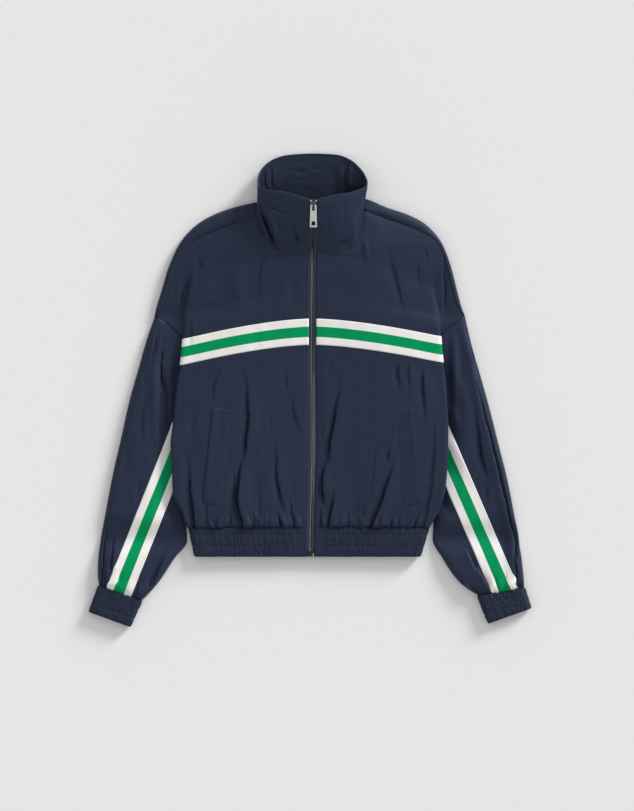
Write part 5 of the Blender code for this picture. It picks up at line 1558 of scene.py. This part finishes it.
# the bridge that the pull hangs from
arch = []
half, bar = zipSizes["bridgeLong"] / 2, zipSizes["bridgeBar"] / 2
steps = zipSizes["bridgeSteps"]
for t in np.linspace(0, 1, steps + 1):
    angle = math.pi * (1 - t)
    forward = math.copysign(abs(math.cos(angle)) ** 0.55, math.cos(angle))
    lift = (zipSizes["bridgeClear"] + bar) * min(1.0, 1.35 * math.sin(angle)) if 0 < t < 1 else 0.0
    arch.append((0.0, (half - bar) * forward, deck - 0.3 + lift + 0.3 * (0 < t < 1)))
arch = np.array(arch)
ring = roundedBox(-zipSizes["bridgeWide"] / 2, -bar, zipSizes["bridgeWide"] / 2, bar, 0.35)
across = np.array([1.0, 0.0, 0.0])
bridge = []
for i, spot in enumerate(arch):
    heading = arch[min(i + 1, steps)] - arch[max(i - 1, 0)]
    heading = heading / np.linalg.norm(heading)
    bridge.append(spot + ring[:, :1] * across + ring[:, 1:] * np.cross(across, heading))
count = len(ring)
faces = [tuple(range(count)), tuple(range(steps * count, (steps + 1) * count))[::-1]]
for r in range(steps):
    for i in range(count):
        j = (i + 1) % count
        faces.append((r * count + j, r * count + i, (r + 1) * count + i, (r + 1) * count + j))
joined("sliderBridge", [turned((np.concatenate(bridge), faces), frameAt)], looks["shadedMetal"], "dark_metal")

for side, sign in sides.items():
    width, depth, tall = zipSizes["stop"]
    loop = roundedBox(-width / 2, -depth / 2, width / 2, depth / 2, 0.5)
    spot = Matrix.Translation((sign * (2.9 + width / 2), long + 0.3 + depth / 2, 0.8 + tall / 2))
    part = turned(casting(loop, -tall / 2, tall / 2, 0.4), frameAt @ spot)
    joined("zipStop" + side.title(), [part], looks["teeth"], "dark_metal", "zip_stop_" + side)

width, depth, tall = zipSizes["box"]
boxY = layout["hemEndY"] + zipSizes["boxEnd"] + depth / 2
spot = Matrix.Translation((zipX(boxY), boxY, float(zipZ(boxY)) - 1.5))
box = casting(roundedBox(-width / 2, -depth / 2, width / 2, depth / 2, 1.0), -tall / 2, tall / 2, 0.5)
pin = casting(roundedBox(3.3, -depth / 2 - 0.2, 4.7, 0.6, 0.4), -tall / 2, tall / 2 + 0.5, 0.3,
              middle=(4.0, -1.5))
joined("zipBox", [turned(box, spot)], looks["shadedMetal"], "bright_metal", "zip_box")
joined("zipPin", [turned(pin, spot)], looks["teeth"], "bright_metal")


def pullTab():
    # a flat tab with an eye and a window, eased all round
    tip, thick, eased = zipSizes["eyeBar"], zipSizes["pullThick"], zipSizes["pullEased"]
    end = tip - zipSizes["pullLong"]
    eyeWide, eyeLong = zipSizes["eye"]
    windowTop, windowTopWide, windowEnd, windowEndWide = zipSizes["window"]
    # each outline: height and width of its two ends, and the radius of its corners
    shapes = ((tip, zipSizes["pullTop"], end, zipSizes["pullEnd"], 1.6),
              (-tip, eyeWide, -tip - eyeLong, eyeWide, 1.2),
              (end + windowTop, windowTopWide, end + windowEnd, windowEndWide, 1.1))
    flat = bpy.data.curves.new("pullOutline", "CURVE")
    flat.dimensions = "2D"
    flat.fill_mode = "BOTH"
    flat.extrude = (thick / 2 - eased) * mm
    flat.bevel_depth = eased * mm
    flat.bevel_resolution = 3
    flat.offset = -eased * mm
    for y0, wide0, y1, wide1, radius in shapes:
        corners = [(-wide0 / 2, y0), (wide0 / 2, y0), (wide1 / 2, y1), (-wide1 / 2, y1)]
        loop = roundedLoop(corners, radius, 6)
        line = flat.splines.new("POLY")
        line.points.add(len(loop) - 1)
        for point, (x, y) in zip(line.points, loop):
            point.co = (x * mm, y * mm, 0, 1)
        line.use_cyclic_u = True
    guide = bpy.data.objects.new("pullOutline", flat)
    bpy.context.scene.collection.objects.link(guide)
    bpy.context.view_layer.update()
    mesh = bpy.data.meshes.new_from_object(guide.evaluated_get(bpy.context.evaluated_depsgraph_get()))
    bpy.data.objects.remove(guide)
    axis = frameAt @ Matrix.Translation((0, 0, deck + zipSizes["axisUp"]))
    axis.translation *= mm
    mesh.transform(axis)
    mesh.materials.clear()
    mesh.materials.append(looks["brightMetal"])
    made = bpy.data.objects.new("zipPull", mesh)
    bpy.context.scene.collection.objects.link(made)
    return settle(made, "bright_metal", "zip_pull", rides=pullBody)


pullTab()

print("stitches")

stitching = {
    "pitch": 3.1, "long": 2.2, "thick": 0.17,
    "lift": 0.4, "tapeLift": 1.15, "weltLift": 0.55, "bandLift": 0.72,
    "tapeIn": 1.3, "weltIn": 1.6, "shoulderIn": 3.4, "neckIn": 4.6, "step": 1.5, "fineStep": 1.2,
}


def stitchParts(lines):
    # one short rounded thread for each stitch along lines of points (mm)
    parts = []
    for line in lines:
        line = np.asarray(line, float)
        at = np.concatenate([[0.0], np.cumsum(np.linalg.norm(np.diff(line, axis=0), axis=1))])
        starts = np.arange(stitching["pitch"] * 0.4, at[-1] - stitching["long"], stitching["pitch"])
        for start in starts:
            ends = (start, start + stitching["long"])
            a, b = (np.array([np.interp(end, at, line[:, axis]) for axis in range(3)]) for end in ends)
            along = (b - a) / np.linalg.norm(b - a)
            across = np.cross(along, (0, 0, 1) if abs(along[2]) < 0.9 else (1, 0, 0))
            across = across / np.linalg.norm(across)
            up = np.cross(across, along)
            around = [across, up, -across, -up]
            ringA = [a + (b - a) * 0.2 + w * stitching["thick"] for w in around]
            ringB = [a + (b - a) * 0.8 + w * stitching["thick"] for w in around]
            sunk = -up * stitching["thick"] * 1.2
            points = [a + sunk, *ringA, *ringB, b + sunk]
            faces = []
            for i in range(4):
                j = (i + 1) % 4
                faces += [(0, 1 + i, 1 + j), (1 + i, 5 + i, 5 + j, 1 + j), (5 + i, 9, 5 + j)]
            parts.append((points, faces))
    return parts


def marks(start, end, step=stitching["step"]):
    return np.arange(start, end, step)


for side in sides:
    name = side.title()
    cloth = fronts[side]
    neckAt, endAt = cloth.rowKnots[front["neckRow"]], cloth.rowKnots[-1] - 5
    # beside the zip, beside the shoulder seam and below the neck seam
    lines = [cloth.on(cloth.edgeAt + front["stitchIn"], marks(3, neckAt), stitching["lift"]),
             cloth.on(cloth.u[-1] - stitching["shoulderIn"],
                      marks(cloth.rowKnots[front["seamRow"]] + 2, endAt), stitching["lift"]),
             cloth.on(cloth.edgeAt + stitching["neckIn"], marks(neckAt + 6, endAt), stitching["lift"])]
    joined("stitchesFront" + name, stitchParts(lines), looks["navyThread"], "shell")
    low, high = cloth.tapeEdges
    lines = [cloth.on(marks(cloth.edgeAt + 2, cloth.foldAt + 1), v, stitching["tapeLift"])
             for v in (low + stitching["tapeIn"], high - stitching["tapeIn"])]
    joined("stitchesChestTape" + name, stitchParts(lines), looks["whiteThread"], "striped_tape")
    cloth = sleeves[side]
    low, high = cloth.tapeEdges
    lines = [cloth.on(u, marks(4, cloth.v[-1] - 3), stitching["tapeLift"])
             for u in (low + stitching["tapeIn"], high - stitching["tapeIn"])]
    joined("stitchesSleeveTape" + name, stitchParts(lines), looks["whiteThread"], "striped_tape")
    cloth = weltCloths[side]
    sewnIn, fine = stitching["weltIn"], stitching["fineStep"]
    lines = [cloth.on(sewnIn, marks(2, cloth.v[-1] - 2, fine), stitching["weltLift"])]
    for v in (sewnIn, cloth.v[-1] - sewnIn):
        lines.append(cloth.on(marks(2, cloth.u[-1] - 1.5, fine), v, stitching["weltLift"]))
    joined("stitchesWelt" + name, stitchParts(lines), looks["navyThread"], "shell")
    cloth = cuffs[side]
    lines = [cloth.on(cloth.u, row, stitching["bandLift"]) for row in cloth.rowsAt]
    joined("stitchesCuff" + name, stitchParts(lines), looks["navyThread"], "band")

us = hemCloth.u[(hemCloth.u > 5) & (hemCloth.u < hemCloth.u[-1] - 5)]
lines = [hemCloth.on(us, row, stitching["bandLift"]) for row in bands["hemRows"]]
joined("stitchesHem", stitchParts(lines), looks["navyThread"], "band")
us = collarCloth.u[8:-8]
lines = [collarCloth.on(us, collarCloth.topAt - down, stitching["lift"]) for down in collar["stitchDown"]]
endIn = collarCloth.columnKnots[1] + front["stitchIn"]
for u in (endIn, collarCloth.u[-1] - endIn):
    lines.append(collarCloth.on(u, marks(2, collarCloth.topAt - 6), stitching["lift"]))
joined("stitchesCollar", stitchParts(lines), looks["navyThread"], "shell")

print("camera and light")

stage = {
    "camera": (0.01085, -0.02325, 12.0), "lens": 343.7, "sensor": 36, "world": 0.665,
    "sun": 3.58, "sunAngle": 17, "sunFrom": (0.66, 0.69, 0.29),
    "floor": (0.79, 0.79, 0.79, 1), "floorShade": 0.995, "floorHalf": 8,
}
scene = bpy.context.scene
camera = bpy.data.cameras.new("camera")
camera.lens = stage["lens"]
camera.sensor_width = stage["sensor"]
camera.clip_end = 50
cameraObject = bpy.data.objects.new("camera", camera)
cameraObject.location = stage["camera"]
scene.collection.objects.link(cameraObject)
scene.camera = cameraObject

sun = bpy.data.lights.new("sun", "SUN")
sun.energy = stage["sun"]
sun.angle = math.radians(stage["sunAngle"])
sunObject = bpy.data.objects.new("sun", sun)
sunObject.rotation_euler = Vector(stage["sunFrom"]).to_track_quat("Z", "Y").to_euler()
scene.collection.objects.link(sunObject)

world = bpy.data.worlds.new("studio")
world.use_nodes = True
world.node_tree.nodes["Background"].inputs["Color"].default_value = (1, 1, 1, 1)
world.node_tree.nodes["Background"].inputs["Strength"].default_value = stage["world"]
scene.world = world
scene.view_settings.view_transform = "Standard"

half = stage["floorHalf"]
mesh = bpy.data.meshes.new("floor")
mesh.from_pydata([(-half, -half, 0), (half, -half, 0), (half, half, 0), (-half, half, 0)], [], [(0, 1, 2, 3)])
floorLook = Look("paleFloor", {"Roughness": 0.9, "Specular IOR Level": 0.1})
mottle = floorLook.noise(floorLook.modelSpot(), 40.0, 3.0)
dark = shaded(stage["floor"], stage["floorShade"])
floorLook.feed("Base Color", floorLook.blend(mottle, stage["floor"], dark))
mesh.materials.append(floorLook.material)
floor = bpy.data.objects.new("floor", mesh)
scene.collection.objects.link(floor)

print("done")
